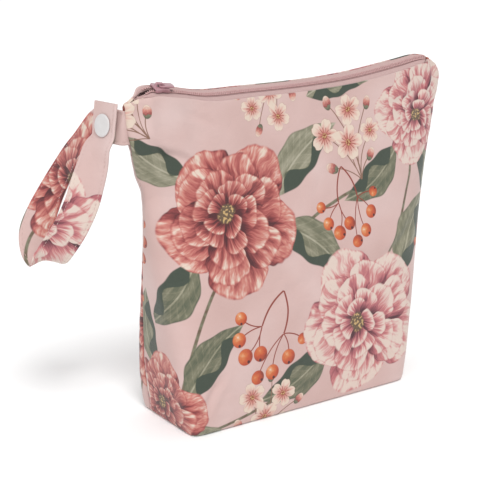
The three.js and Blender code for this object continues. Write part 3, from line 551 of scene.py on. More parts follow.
TAPE_TAIL = 5
TAPE_SAG = 0.12
TAPE_FROM_CLOTH = 0.15
TAPE_COLUMNS = 260
TAPE_ROW_LENGTH = 1.1
TAPE_EDGE_ROUNDING = 0.15
TAPE_LEG_STOPS = (1, 0.5, 0.12)
TAPE_TOP_STOPS = (0.06, 0.25, 0.5, 0.75, 0.9, 1)


def tape(side, name, material, node):
    """A tape from its leg inside the mouth, over the bend and across to the coil."""
    rows = [[] for _ in TAPE_LEG_STOPS + TAPE_TOP_STOPS]
    for column in range(TAPE_COLUMNS):
        x = mix(ZIPPER_LEFT - TAPE_TAIL, ZIPPER_RIGHT, column / (TAPE_COLUMNS - 1))
        rim_middle, _, rim_across, _, half_width = mouth_frame(x)
        middle, _, across, lift = zipper_frame(x)
        bend = rim_middle + rim_across * (side * (half_width - TAPE_FROM_CLOTH))
        parted = (TAPE_SPLIT / 2 + spread_at(x)) * smoothstep(x, ZIPPER_LEFT - TAPE_TAIL, ZIPPER_LEFT)
        edge = middle + across * (side * max(0.1, min(parted, half_width - 1)))
        line = [bend - UP * share * TAPE_LEG for share in TAPE_LEG_STOPS]
        for share in TAPE_TOP_STOPS:
            line.append(bend.lerp(edge, share) - lift * TAPE_SAG * math.sin(math.pi * share))
        if side > 0:
            line.reverse()
        for index, point in enumerate(line):
            rows[index].append((point, (x, index * TAPE_ROW_LENGTH)))
    piece = finish_piece(cloth_sheet(rows), name, "bag", material, [node])
    add_cloth_thickness(piece, TAPE, TAPE_EDGE_ROUNDING)


COIL_SUNK = 0.5
COIL_TALL = 1.1
COIL_WIRE = 0.34
HEAD_REACH = 0.42
POINTS_PER_TURN = 12


def coil(side, name, material, node):
    """Turns of one nylon thread, flattened, with the heads reaching between the other half's."""
    start, end = ZIPPER_LEFT + FIT + COIL_WIRE, ZIPPER_RIGHT - FIT - COIL_WIRE
    turns = int((end - start) / COIL_PITCH)
    curve = bpy.data.curves.new(name, "CURVE")
    curve.dimensions = "3D"
    curve.bevel_depth = COIL_WIRE
    curve.bevel_resolution = 1
    count = turns * POINTS_PER_TURN
    spline = curve.splines.new("POLY")
    spline.points.add(count - 1)
    for index in range(count):
        phase = 2 * math.pi * index / POINTS_PER_TURN
        x = start + (end - start) * index / (count - 1)
        middle, along, across, lift = zipper_frame(x)
        parted = spread_at(x)
        closed = 1 - parted / OPEN_END_SPREAD
        near = SEAM_GAP / 2 + COIL_WIRE - HEAD_REACH * closed
        far = SEAM_GAP / 2 + COIL_WIDTH - COIL_WIRE
        out = parted + (near + far) / 2 + (far - near) / 2 * math.cos(phase)
        height = COIL_SUNK + (COIL_TALL / 2 - COIL_WIRE) * math.sin(phase)
        half_turn = along * (0.5 * COIL_PITCH if side > 0 else 0)
        spline.points[index].co = (*(middle + across * side * out + lift * height + half_turn), 1)
    holder = bpy.data.objects.new(name, curve)
    bm = bmesh.new()
    bpy.context.scene.collection.objects.link(holder)
    graph = bpy.context.evaluated_depsgraph_get()
    bm.from_mesh(holder.evaluated_get(graph).to_mesh())
    bpy.data.objects.remove(holder)
    close_ends(bm)
    finish_piece(bm, name, "bag", material, [node])


METAL_EDGE_ROUNDING = 0.14
SHARP_ANGLE = math.radians(28)


def softened_copy(node, name, body, material):
    """A hard piece on its CAD solid, with its faces joined again and its edges rounded."""
    bm = bmesh.new()
    bm.from_mesh(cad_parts[node].data)
    bmesh.ops.transform(bm, matrix=Matrix.Scale(1 / MM, 4), verts=bm.verts)
    bmesh.ops.remove_doubles(bm, verts=bm.verts, dist=0.002)
    bmesh.ops.dissolve_limit(bm, angle_limit=math.radians(2), verts=bm.verts, edges=bm.edges)
    sharp = [edge for edge in bm.edges if edge.is_manifold and edge.calc_face_angle() > SHARP_ANGLE]
    bmesh.ops.bevel(
        bm, geom=sharp, offset=METAL_EDGE_ROUNDING, offset_type="OFFSET", segments=2,
        profile=0.5, affect="EDGES", clamp_overlap=True, material=-1,
    )
    finish_piece(bm, name, body, material, [node])


# The wrist strap
turn, lean = math.radians(SNAP_TURN), math.radians(SNAP_LEAN)
SNAP_MIDDLE = Vector((-MOUTH_REACH_LEFT - SNAP_OUT, SNAP_BACK, STRAP_HEIGHT + SNAP_RAISE))
SNAP_AXIS = Vector((-math.cos(turn) * math.cos(lean), -math.sin(turn) * math.cos(lean), math.sin(lean)))
SNAP_SIDE = Vector((math.sin(turn), -math.cos(turn), 0))
SNAP_DOWN = SNAP_SIDE.cross(SNAP_AXIS).normalized()
FREE_FACE = SNAP_CAP_HEIGHT + FIT
SOCKET_FACE = FREE_FACE + STRAP_THICKNESS + FIT
STUD_FACE = SOCKET_FACE + SNAP_SOCKET_HEIGHT + FIT
ROOT_FACE = STUD_FACE + SNAP_STUD_HEIGHT + FIT
BACK_CAP_FACE = ROOT_FACE + STRAP_THICKNESS + FIT


def snap_place(depth, side, down):
    """A place by the snap, told from its cap's middle: inwards along its axis, sideways and down."""
    return SNAP_MIDDLE - SNAP_AXIS * depth + SNAP_SIDE * side + SNAP_DOWN * down


def strap_stations():
    """The strap's middle line with the direction of its width, from its free end to its sewn root."""
    free, root, flat = FREE_FACE + STRAP_THICKNESS / 2, ROOT_FACE + STRAP_THICKNESS / 2, SNAP_DIAMETER / 2
    stations = [(snap_place(free, 0, share * flat), SNAP_SIDE) for share in (-2, -1, 0, 1)]
    for out, back, down, out_w, back_w, down_w in STRAP_ROUTE:
        width = Vector((-out_w, back_w, -down_w)).normalized()
        stations.append((SNAP_MIDDLE + Vector((-out, back, -down)) * STRAP_DROP, width))
    stations += [(snap_place(root, share * flat, 0), SNAP_DOWN) for share in (-1.4, -1, -0.5, 0, 0.5, 1)]
    seam_y = section["tip"](STRAP_HEIGHT / BAG_HEIGHT) * HALF_DEPTH
    for inward in (-STRAP_THICKNESS / 2, STRAP_ROOT_DEPTH / 2, STRAP_ROOT_DEPTH):
        stations.append((Vector((-MOUTH_REACH_LEFT + inward, seam_y, STRAP_HEIGHT)), -UP))
    return stations


def centripetal(points, place):
    """A point of the smooth curve through points, with knots spaced by the root of each distance."""
    spot = (len(points) - 1) * place
    index = min(int(spot), len(points) - 2)
    weight = spot - index
    one, two = points[index], points[index + 1]
    zero = points[index - 1] if index > 0 else one * 2 - two
    three = points[index + 2] if index + 2 < len(points) else two * 2 - one
    gaps = [max(1e-4, math.sqrt((b - a).length)) for a, b in ((zero, one), (one, two), (two, three))]
    leave = (one - zero) / gaps[0] - (two - zero) / (gaps[0] + gaps[1]) + (two - one) / gaps[1]
    reach = (two - one) / gaps[1] - (three - one) / (gaps[1] + gaps[2]) + (three - two) / gaps[2]
    leave, reach = leave * gaps[1], reach * gaps[1]
    square, cube = weight ** 2, weight ** 3
    return (
        one + leave * weight + (two * 3 - one * 3 - leave * 2 - reach) * square
        + (one * 2 - two * 2 + leave + reach) * cube
    )


strap_points, strap_widths = zip(*strap_stations())


def strap_frame(place):
    point = centripetal(strap_points, place)
    ahead = centripetal(strap_points, min(1, place + 1e-3))
    behind = centripetal(strap_points, max(0, place - 1e-3))
    along = (ahead - behind).normalized()
    across = squared(centripetal(strap_widths, place), along)
    return point, along, across, along.cross(across)


STRAP_STEPS = 300
FOLD_STEPS = 30
HALF_STRAP = STRAP_WIDTH / 2
FRONT_PRINT_SHIFT = 118
FOLD_ROUNDING = 0.7
STRAP_WAVES = 0.16
STITCH_INSET = 2.0
STITCH_GROOVE = 0.2
GROOVE_WIDTH = 0.45
FIRST_STITCH = 1.2
STITCH_PITCH = 2.3
STITCH_LIFT = 0.05
STITCH_SHAPE = (0.98, 0.17, 0.14)


def strap_half_thickness(out):
    """Half the folded strap's thickness: rounded folds, a groove under each row of stitches."""
    from_edge = HALF_STRAP - abs(out)
    rounded = math.sqrt(max(0.0, 1 - max(0.0, 1 - from_edge / FOLD_ROUNDING) ** 2))
    groove = STITCH_GROOVE * math.exp(-((from_edge - STITCH_INSET) / GROOVE_WIDTH) ** 2)
    return STRAP_THICKNESS / 2 * rounded - groove * min(1, rounded)


def strap(name, material):
    """The folded band as a closed ring of points that runs along the strap's line."""
    outs = [-HALF_STRAP * math.cos(math.pi * step / FOLD_STEPS) for step in range(FOLD_STEPS + 1)]
    ring = [(out, 1) for out in outs] + [(out, -1) for out in reversed(outs[1:-1])]
    ring.append(ring[0])
    rows = [[] for _ in ring]
    length = 0.0
    before = strap_points[0]
    for step in range(STRAP_STEPS):
        point, _, across, face = strap_frame(step / (STRAP_STEPS - 1))
        length += (point - before).length
        before = point
        for row, (out, side) in zip(rows, ring):
            wave = STRAP_WAVES * noise.noise(Vector((length / 9, out / 6, 2.5)))
            place = point + across * out + face * (side * strap_half_thickness(out) + wave)
            row.append((place, (out + (FRONT_PRINT_SHIFT if side > 0 else 0), length)))
    bm = cloth_sheet(rows)
    close_ends(bm)
    finish_piece(bm, name, "bag", material, ["strap"])


def strap_stitches(name, material):
    """Two rows of lockstitch along the strap's long edges, seen on both faces."""
    bm = bmesh.new()
    spots = 4000
    length, next_stitch = 0.0, FIRST_STITCH
    before = strap_frame(0)[0]
    for spot in range(1, spots + 1):
        place = spot / spots
        point, along, across, face = strap_frame(place)
        length += (point - before).length
        before = point
        if length < next_stitch:
            continue
        next_stitch += STITCH_PITCH
        for row_side in (-1, 1):
            out = row_side * (HALF_STRAP - STITCH_INSET)
            for face_side in (-1, 1):
                lift = strap_half_thickness(out) + STITCH_LIFT
                stitch = Matrix((along, across, face)).transposed().to_4x4()
                stitch.translation = point + across * out + face * (face_side * lift)
                stitch @= Matrix.Diagonal((*STITCH_SHAPE, 1))
                bmesh.ops.create_uvsphere(bm, u_segments=6, v_segments=5, radius=1, matrix=stitch)
    finish_piece(bm, name, "bag", material)


# The snap. The rounded edges of its caps are told in shares of their radius and height.
SNAP_SEGMENTS = 72
CAP_EDGE = (
    (1, 0.88), (1, 0.62), (0.985, 0.44), (0.95, 0.3), (0.88, 0.17), (0.75, 0.09), (0.5, 0.03),
    (0.25, 0.005),
)
BACK_CAP_EDGE = ((0.6, 0.95), (0.85, 0.84), (0.96, 0.62), (1, 0.35))


def turned(profile):
    """A piece turned about the snap's axis from pairs of radius and depth below the cap."""
    bm = bmesh.new()
    line = [bm.verts.new((radius, 0, -depth)) for radius, depth in profile]
    for start, end in zip(line, line[1:]):
        bm.edges.new((start, end))
    bmesh.ops.spin(
        bm, geom=bm.verts[:] + bm.edges[:], cent=(0, 0, 0), axis=(0, 0, 1),
        angle=2 * math.pi, steps=SNAP_SEGMENTS, use_merge=True,
    )
    bmesh.ops.remove_doubles(bm, verts=bm.verts, dist=0.002)
    bmesh.ops.recalc_face_normals(bm, faces=bm.faces)
    place = UP.rotation_difference(SNAP_AXIS).to_matrix().to_4x4()
    place.translation = SNAP_MIDDLE
    bmesh.ops.transform(bm, matrix=place, verts=bm.verts)
    return bm


def snap(material):
    """The snap's four pieces: the cap with its post, the socket, the stud and the cap behind."""
    radius, ring, post = SNAP_DIAMETER / 2, SNAP_RING_DIAMETER / 2, SNAP_POST_RADIUS
    post_end = SOCKET_FACE + SNAP_SOCKET_HEIGHT / 2 - FIT
    cap = [(0, post_end), (post, post_end), (post, SNAP_CAP_HEIGHT), (radius - 0.12, SNAP_CAP_HEIGHT)]
    cap += [(share * radius, level * SNAP_CAP_HEIGHT) for share, level in CAP_EDGE]
    cap.append((0, 0))
    bore, low = post + FIT, SOCKET_FACE + SNAP_SOCKET_HEIGHT
    socket = [
        (bore, low), (0.86 * ring, low), (0.92 * ring, low - 0.06), (ring, low - 0.5),
        (ring, SOCKET_FACE + 0.08), (0.985 * ring, SOCKET_FACE), (bore, SOCKET_FACE), (bore, low),
    ]
    nub = SOCKET_FACE + SNAP_SOCKET_HEIGHT / 2
    stud_low = STUD_FACE + SNAP_STUD_HEIGHT
    stud = [
        (0, stud_low), (0.98 * ring, stud_low), (ring, stud_low - 0.1), (ring, STUD_FACE + 0.1),
        (0.98 * ring, STUD_FACE), (post, STUD_FACE), (post, nub + 0.15), (0.9 * post, nub), (0, nub),
    ]
    face = BACK_CAP_FACE
    back_cap = [(0, face + SNAP_CAP_HEIGHT)]
    back_cap += [(share * radius, face + level * SNAP_CAP_HEIGHT) for share, level in BACK_CAP_EDGE]
    back_cap += [
        (radius, face + 0.1), (0.985 * radius, face), (post, face), (post, ROOT_FACE), (0, ROOT_FACE),
    ]
    for name, profile in (("cap", cap), ("socket", socket), ("stud", stud), ("back_cap", back_cap)):
        finish_piece(turned(profile), name, "bag", material, [f"snap_{name}"])


# Finishes
def operator(kind, swapped=False):
    def apply(value, *others):
        values = (*others, value) if swapped else (value, *others)
        return value.draw.calc(kind, *values)

    return apply


class Value:
    """A node's output. Sums are written with it as they are with numbers."""

    def __init__(self, draw, socket):
        self.draw = draw
        self.socket = socket

    __add__ = __radd__ = operator("ADD")
    __sub__ = operator("SUBTRACT")
    __rsub__ = operator("SUBTRACT", swapped=True)
    __mul__ = __rmul__ = operator("MULTIPLY")
    __truediv__ = operator("DIVIDE")
    __mod__ = operator("MODULO")
    __pow__ = operator("POWER")
    __abs__ = operator("ABSOLUTE")


class Pattern:
    """Draws a finish with nodes. Wherever a number goes, a Value may go too."""

    def __init__(self, tree):
        self.tree = tree

    def join(self, socket, value):
        if isinstance(value, Value):
            self.tree.links.new(value.socket, socket)
        else:
            socket.default_value = value

    def node(self, kind, inputs=None, output=0, **settings):
        """Adds a node with its inputs, by name or number, and gives one of its outputs."""
        node = self.tree.nodes.new(kind)
        for name, value in settings.items():
            setattr(node, name, value)
        for name, value in (inputs or {}).items():
            self.join(node.inputs[name], value)
        return Value(self, node.outputs[output])

    def calc(self, kind, *values, clamp=False):
        return self.node("ShaderNodeMath", dict(enumerate(values)), operation=kind, use_clamp=clamp)

    def highest(self, first, *others):
        for value in others:
            first = self.calc("MAXIMUM", first, value)
        return first

    def within(self, edge, reach, crispness):
        """1 where the reach is within the edge, and 0 beyond it."""
        return self.calc("MULTIPLY", edge - reach, crispness, clamp=True)

    def vector(self, kind, *values, output=0):
        return self.node("ShaderNodeVectorMath", dict(enumerate(values)), output, operation=kind)

    def enlarged(self, vector, factor):
        return self.node("ShaderNodeVectorMath", {"Vector": vector, "Scale": factor}, operation="SCALE")

    def length(self, vector):
        return self.vector("LENGTH", vector, output=1)

    def distance(self, vector, place):
        return self.length(self.vector("SUBTRACT", vector, (*place, 0)))

    def parts(self, vector):
        outputs = self.node("ShaderNodeSeparateXYZ", {0: vector}).socket.node.outputs
        return [Value(self, output) for output in outputs[:2]]

    def joined(self, x, y, z=0.0):
        return self.node("ShaderNodeCombineXYZ", {"X": x, "Y": y, "Z": z})

    def step(self, value, low, high, start=0.0, end=1.0):
        inputs = {"Value": value, "From Min": low, "From Max": high, "To Min": start, "To Max": end}
        return self.node("ShaderNodeMapRange", inputs, interpolation_type="SMOOTHSTEP")

    def placed(self, vector, place, turn, size):
        inputs = {
            "Vector": vector, "Location": (*place, 0), "Rotation": (0, 0, turn), "Scale": (size, size, 1),
        }
        return self.node("ShaderNodeMapping", inputs, vector_type="TEXTURE")

    def noise(self, vector, scale, detail=2.0, roughness=0.55):
        inputs = {"Vector": vector, "Scale": scale, "Detail": detail, "Roughness": roughness}
        return self.node("ShaderNodeTexNoise", inputs, noise_dimensions="3D")

    def blend(self, factor, first, second, kind="RGBA"):
        start, output = {"FLOAT": (2, 0), "VECTOR": (4, 1), "RGBA": (6, 2)}[kind]
        ends = [ink(value) if isinstance(value, str) else value for value in (first, second)]
        inputs = {0: factor, start: ends[0], start + 1: ends[1]}
        return self.node("ShaderNodeMix", inputs, output, data_type=kind)

    def ramp(self, value, stops):
        shown = self.node("ShaderNodeValToRGB", {"Fac": value})
        elements = shown.socket.node.color_ramp.elements
        while len(elements) < len(stops):
            elements.new(0.5)
        for element, (position, name) in zip(elements, stops):
            element.position = position
            element.color = ink(name)
        return shown

    def bumped(self, height, strength, distance):
        return self.node("ShaderNodeBump", {"Strength": strength, "Distance": distance, "Height": height})

    def nearest(self, vector, places, stretch=None):
        """The nearest of several motifs: where the point lies on it, and its number."""
        for index, (x, y, turn, size) in enumerate(places):
            local = self.placed(vector, (x, y), turn, size)
            reach = self.length(self.vector("MULTIPLY", local, stretch) if stretch else local)
            if index == 0:
                chosen, number, closest = local, 0.0, reach
                continue
            closer = self.calc("LESS_THAN", reach, closest)
            chosen = self.blend(closer, chosen, local, "VECTOR")
            number = self.blend(closer, number, float(index), "FLOAT")
            closest = self.calc("MINIMUM", reach, closest)
        return chosen, number


# Colours as a screen shows them, 0 to 255. The light on the bag is strong, so each is laid a little deeper.
INK_DEPTH = 0.7
INKS = {
    "ground": (228, 194, 188), "ground_light": (235, 206, 201), "ground_shade": (219, 183, 176),
    "wine": (84, 28, 34), "maroon": (122, 46, 50), "red": (160, 72, 70), "rose": (196, 104, 98),
    "salmon": (218, 140, 126), "blush": (233, 183, 170), "cream": (243, 222, 204),
    "straw": (214, 178, 120), "bark": (110, 88, 66), "twig": (146, 108, 88), "rust": (150, 60, 44),
    "pine": (62, 74, 60), "moss": (92, 98, 76), "olive": (130, 128, 103), "sage": (160, 156, 132),
    "mist": (190, 184, 162), "ember": (206, 84, 44), "orange": (226, 122, 66), "peach": (240, 170, 120),
    "tape": (221, 184, 180), "tape_shade": (205, 164, 160), "tape_light": (232, 200, 196),
    # The tape's dark line beside the coil is partly thread and partly painted shade of the groove.
    "tape_groove_shade": (138, 88, 90), "nylon": (231, 190, 188), "nylon_dark": (218, 172, 170),
    "enamel": (206, 158, 166), "enamel_dark": (190, 138, 148), "snap": (238, 235, 234),
    "snap_shade": (232, 228, 227), "thread": (230, 200, 193), "thread_shade": (214, 180, 172),
}


def linear(level):
    share = level / 255
    return share / 12.92 if share <= 0.04045 else ((share + 0.055) / 1.055) ** 2.4


def ink(name):
    return (*(INK_DEPTH * linear(level) for level in INKS[name]), 1)


def plain_finish(name, colour, roughness, **sockets):
    """A material with its shader's inputs and a pattern to draw them with."""
    material = bpy.data.materials.new(name)
    material.use_nodes = True
    inputs = material.node_tree.nodes["Principled BSDF"].inputs
    inputs["Base Color"].default_value = colour
    inputs["Roughness"].default_value = roughness
    for socket, value in sockets.items():
        inputs[socket.replace("_", " ")].default_value = value
    return material, inputs, Pattern(material.node_tree)


# The print repeats over a tile of the cloth. Each motif is laid by its middle, turn and size, a stem
# by its bend too.
TILE = (240, 232)
TILE_LOW = (-120, -35)
BLOOMS = ((-44, 120, 0.4, 45), (44, 48, 1.5, 47), (100, 168, 2.6, 36), (-102, 12, 0.9, 34))
LEAVES = (
    (8, 150, 0.65, 31), (10, 96, -0.7, 31), (-86, 80, -2.3, 27), (-90, 158, 2.5, 25), (88, 94, 0.95, 31),
    (-8, 22, -2.7, 29), (94, 20, -0.6, 27), (58, 132, -2.6, 27), (110, 122, -1.3, 27), (-64, 44, 0.8, 27),
    (-68, -8, -0.5, 24), (-110, 58, 1.5, 25), (36, 188, 0.1, 24), (20, -24, -0.3, 26),
)
TWIGS = (
    (40, 156, 0.4, 27), (-30, 4, -0.3, 25), (-112, 184, 1.0, 24), (104, -14, 0.5, 25), (-14, 186, 2.6, 22),
)
SPRAYS = ((36, 116, 0.2, 25), (-28, 50, -0.35, 29), (-116, 112, 0.3, 23), (112, 84, 2.9, 22))
STEMS = (
    (-64, 60, 1.15, 50, 0.16), (78, 118, 1.15, 44, -0.14), (18, 112, 0.41, 43, 0.12),
    (-28, 17, 0.3, 58, -0.12), (-88, 162, 2.6, 40, 0.14), (97, 27, 2.51, 29, 0.16),
)
STEM_THICKNESS = 1.3

# Each ring of a bloom: its reach, its petals, its turn and where its middle lies
PETAL_RINGS = (
    (1.0, 5, 0.1, (0.0, 0.0)), (0.83, 6, 0.62, (-0.03, 0.03)), (0.64, 5, 0.25, (-0.05, 0.06)),
    (0.47, 5, 0.8, (-0.06, 0.08)), (0.3, 4, 0.4, (-0.06, 0.1)),
)
BLOOM_HEART = (-0.06, 0.11)

# Blossoms and hips by their middle, turn and size, and buds, which lie along their stalks, without a turn
TWIG_ROOT = (-0.05, -0.98)
BLOSSOMS = (
    (-0.5, 0.34, 0.2, 0.4), (0.36, 0.52, 0.9, 0.37), (0.02, -0.1, 1.6, 0.42), (0.68, -0.16, 0.5, 0.3),
)
BUDS = ((-0.66, -0.36, 0.14), (0.88, 0.42, 0.12), (-0.1, 0.92, 0.13), (0.44, -0.62, 0.12))
SPRAY_ROOT = (0.12, 0.98)
SPRAY_FORKS = ((-0.22, 0.2), (0.36, 0.14))
HIPS = (
    (-0.66, -0.16, 0.2, 0.16), (-0.42, -0.46, 0.8, 0.18), (-0.08, -0.34, 0.1, 0.17),
    (0.34, -0.66, 0.5, 0.17), (0.64, -0.3, 0.3, 0.17), (0.02, -0.82, 1.2, 0.16),
    (-0.74, 0.26, 0.2, 0.14), (0.86, 0.12, 2.0, 0.13),
)


def with_repeats(motifs, reach):
    """Motifs that cross the tile's edge are laid again on its other side."""
    laid = []
    for motif in motifs:
        size = reach * motif[3]
        for across in (-1, 0, 1):
            for up in (-1, 0, 1):
                x, y = motif[0] + across * TILE[0], motif[1] + up * TILE[1]
                inside_x = TILE_LOW[0] - size < x < TILE_LOW[0] + TILE[0] + size
                inside_y = TILE_LOW[1] - size < y < TILE_LOW[1] + TILE[1] + size
                if inside_x and inside_y:
                    laid.append((x, y, *motif[2:]))
    return laid


def petal_share(draw, angle, petals, turn):
    """How far round its petal a direction lies, and how full the petal is there."""
    petal = draw.calc("FRACT", angle * (petals / (2 * math.pi)) + (turn + 10))
    return petal, draw.calc("SINE", petal * math.pi)


def draw_bloom(draw, local, number):
    """An open garden flower with rings of petals, streaked from a dark heart to pale edges."""
    odd = number % 2.0
    wobble = draw.noise(local, 1.7, 1.0) * 0.34 - 0.17
    ruffle = draw.noise(local, 6.0, 1.0) * 0.09 - 0.045
    bent = draw.vector("ADD", local, draw.joined(wobble, ruffle))
    colour, masks = None, []
    for reach, petals, turn, middle in PETAL_RINGS:
        place = draw.vector("SUBTRACT", bent, (*middle, 0))
        x, y = draw.parts(place)
        radius, angle = draw.length(place), draw.calc("ARCTAN2", y, x)
        petal, fullness = petal_share(draw, angle, petals, turn)
        edge = fullness ** 0.45 * (0.3 * reach) + 0.7 * reach
        share = radius / edge
        streak = draw.noise(draw.joined(angle * 8, radius * 2.4, 7 * reach), 1.0, 3.0, 0.68)
        tucked = draw.step(petal, 0.0, 0.3, 0.62, 0.0)
        rim = draw.step(share, 0.94, 1.0, 0.0, -0.3)
        tone = share * 1.42 + streak * 1.7 + odd * 0.24 - tucked + rim - 1.35
        ring = draw.ramp(tone, (
            (0.05, "wine"), (0.24, "maroon"), (0.43, "red"), (0.6, "rose"), (0.75, "salmon"),
            (0.88, "blush"), (1.0, "cream"),
        ))
        inside = draw.within(edge, radius, 45)
        colour = draw.blend(inside, colour, ring) if masks else ring
        masks.append(inside)
    cooler = draw.node(
        "ShaderNodeHueSaturation", {"Hue": 0.485, "Saturation": 0.9, "Value": 0.97, "Color": colour},
    )
    colour = draw.blend(odd, colour, cooler)
    pollen = draw.step(draw.noise(local, 26, 0.5), 0.5, 0.6)
    stamens = draw.blend(pollen, "bark", "straw")
    heart = draw.step(draw.distance(bent, BLOOM_HEART), 0.13, 0.09)
    return draw.blend(heart, colour, stamens), draw.highest(*masks)


def draw_leaf(draw, local, number):
    """A bent oval leaf, brushed along its length, with one side turned over."""
    x, y = draw.parts(local)
    bent = y + x * x * 0.2 - 0.1
    aside = abs(bent)
    wave = draw.calc("SINE", x * 11.0 + 1.0) * 0.02
    half = (1.0 - x * x) * (x * -0.14 + 0.4 + wave)
    mottle = draw.noise(local, 3.2, 3.0, 0.6)
    brushed = draw.noise(draw.joined(x * 1.6, bent * 13.0, 4.0), 1.0, 2.0)
    swept = x - aside ** 0.75 * 0.9
    vein = draw.calc("FRACT", swept * 5.0 + brushed * 0.35)
    veins = draw.step(abs(vein - 0.5), 0.0, 0.14, 0.1, 0.0)
    rib = draw.step(aside, 0.008, 0.026, 0.35, 0.0)
    fold = bent + draw.calc("SINE", x * 6.5 + 2.0) * 0.16 + 0.14
    turned_side = draw.step(fold, -0.02, 0.02, -0.62, 0.22)
    rim = draw.step(aside / draw.calc("MAXIMUM", half, 0.01), 0.8, 1.0, 0.0, -0.14)
    age = number % 3.0 * 0.13
    tone = mottle * 0.7 + brushed * 0.75 + turned_side + veins + rib + rim - age - 0.3
    colour = draw.ramp(tone, ((0.0, "pine"), (0.25, "moss"), (0.5, "olive"), (0.72, "sage"), (1.0, "mist")))
    return colour, draw.within(half, aside, 40)


def draw_line(draw, local, bend, thickness):
    """A bowed line from one side of its place to the other."""
    x, y = draw.parts(local)
    bowed = y + x * x * bend - bend
    return draw.step(abs(bowed), thickness, 0.45 * thickness) * draw.step(abs(x), 1.0, 0.97)


def draw_stalks(draw, local, root, ends, thickness):
    """Thin curved stalks from one root to each of several ends."""
    lines = []
    for index, end in enumerate(ends):
        away = Vector(end) - Vector(root)
        half = away.length / 2
        stalk = draw.placed(local, Vector(root).lerp(Vector(end), 0.5), math.atan2(away.y, away.x), half)
        lines.append(draw_line(draw, stalk, 0.2 if index % 2 else -0.17, thickness / half))
    return draw.highest(*lines)


def draw_twig(draw, local, number):
    """A twig of small five-petalled blossoms and buds."""
    lines = draw_stalks(draw, local, TWIG_ROOT, [spot[:2] for spot in BLOSSOMS + BUDS], 0.016)
    buds = [(x, y, math.atan2(y - TWIG_ROOT[1], x - TWIG_ROOT[0]), size) for x, y, size in BUDS]
    bud, _ = draw.nearest(local, buds, (0.7, 1.1, 1.0))
    bud_mask = draw.step(draw.length(draw.vector("MULTIPLY", bud, (0.7, 1.15, 1.0))), 1.0, 0.85)
    along = draw.parts(bud)[0]
    bud_tone = along * 0.42 + draw.noise(bud, 2.5, 1.0) * 0.5 + 0.25
    bud_colour = draw.ramp(
        bud_tone, ((0.0, "moss"), (0.22, "olive"), (0.3, "red"), (0.6, "salmon"), (1.0, "cream")),
    )
    spot, _ = draw.nearest(local, BLOSSOMS)
    x, y = draw.parts(spot)
    radius, angle = draw.length(spot), draw.calc("ARCTAN2", y, x)
    _, fullness = petal_share(draw, angle, 5, 0)
    notch = draw.step(fullness, 0.93, 1.0) * 0.06
    edge = fullness ** 0.5 * 0.56 + 0.44 - notch
    share = radius / edge
    streak = draw.noise(draw.joined(angle * 6, radius, 3.0), 1.0, 2.0)
    rim = draw.step(share, 0.9, 1.0, 0.0, 0.36)
    tone = share * 0.75 + streak * 0.8 + fullness * 0.24 - rim - 0.41
    colour = draw.ramp(
        tone, ((0.0, "maroon"), (0.16, "red"), (0.34, "salmon"), (0.54, "blush"), (0.78, "cream")),
    )
    rays = draw.step(draw.calc("SINE", angle * 13.0), 0.5, 0.9)
    stamens = rays * draw.step(radius, 0.5, 0.44) * 0.75
    colour = draw.blend(stamens, colour, "rust")
    heart = draw.blend(draw.step(draw.noise(spot, 9, 0.5), 0.45, 0.6), "rust", "straw")
    colour = draw.blend(draw.step(radius, 0.19, 0.13), colour, heart)
    inside = draw.within(edge, radius, 18)
    shown = draw.blend(inside, draw.blend(bud_mask, "twig", bud_colour), colour)
    return shown, draw.highest(lines, bud_mask, inside)


def draw_spray(draw, local, number):
    """A spray of small round hips that hang on thin forked stalks."""
    lines = [draw_stalks(draw, local, SPRAY_ROOT, SPRAY_FORKS, 0.026)]
    for fork, side in zip(SPRAY_FORKS, (-1, 1)):
        ends = [hip[:2] for hip in HIPS if side * hip[0] > 0]
        lines.append(draw_stalks(draw, local, fork, ends, 0.017))
    hip, hip_number = draw.nearest(local, HIPS)
    shaded = draw.distance(hip, (-0.3, 0.35))
    tone = shaded * 0.58 + draw.noise(hip, 2.0, 1.5) * 0.5 + hip_number % 3.0 * 0.1 - 0.25
    colour = draw.ramp(
        tone, ((0.0, "cream"), (0.12, "peach"), (0.32, "orange"), (0.62, "ember"), (1.0, "rust")),
    )
    crown = draw.step(draw.distance(hip, (0.1, -0.72)), 0.22, 0.14)
    inside = draw.step(draw.length(hip), 1.0, 0.9)
    shown = draw.blend(inside, "rust", draw.blend(crown, colour, "wine"))
    return shown, draw.highest(*lines, inside)


def floral_print():
    """The print as one group: from a place on the flat cloth in millimetres to its colour."""
    group = bpy.data.node_groups.new("floral_print", "ShaderNodeTree")
    group.interface.new_socket("Place", in_out="INPUT", socket_type="NodeSocketVector")
    group.interface.new_socket("Colour", in_out="OUTPUT", socket_type="NodeSocketColor")
    draw = Pattern(group)
    given = draw.node("NodeGroupInput")
    spans = zip(draw.parts(given), TILE_LOW, TILE)
    wrapped = draw.joined(*(draw.calc("WRAP", part, low + size, low) for part, low, size in spans))
    cloud = draw.noise(given, 0.02, 2.0)
    colour = draw.ramp(cloud, ((0.3, "ground_shade"), (0.5, "ground"), (0.7, "ground_light")))
    lines = []
    for x, y, turn, size, bend in with_repeats(STEMS, 1.0):
        stem = draw.placed(wrapped, (x, y), turn, size)
        lines.append(draw_line(draw, stem, bend, STEM_THICKNESS / size))
    bark = draw.ramp(draw.noise(wrapped, 0.3, 2.0), ((0.35, "bark"), (0.6, "olive")))
    colour = draw.blend(draw.highest(*lines), colour, bark)
    for places, reach, stretch, paint in (
        (LEAVES, 1.0, (1.0, 2.4, 1.0), draw_leaf),
        (TWIGS, 1.0, None, draw_twig),
        (SPRAYS, 1.0, None, draw_spray),
        (BLOOMS, 1.05, None, draw_bloom),
    ):
        local, number = draw.nearest(wrapped, with_repeats(places, reach), stretch)
        motif, mask = paint(draw, local, number)
        colour = draw.blend(mask, colour, motif)
    draw.join(group.nodes.new("NodeGroupOutput").inputs[0], colour)
    return group


CLOTH_ROUGHNESS = 0.6
WEAVE_PITCH = 0.42


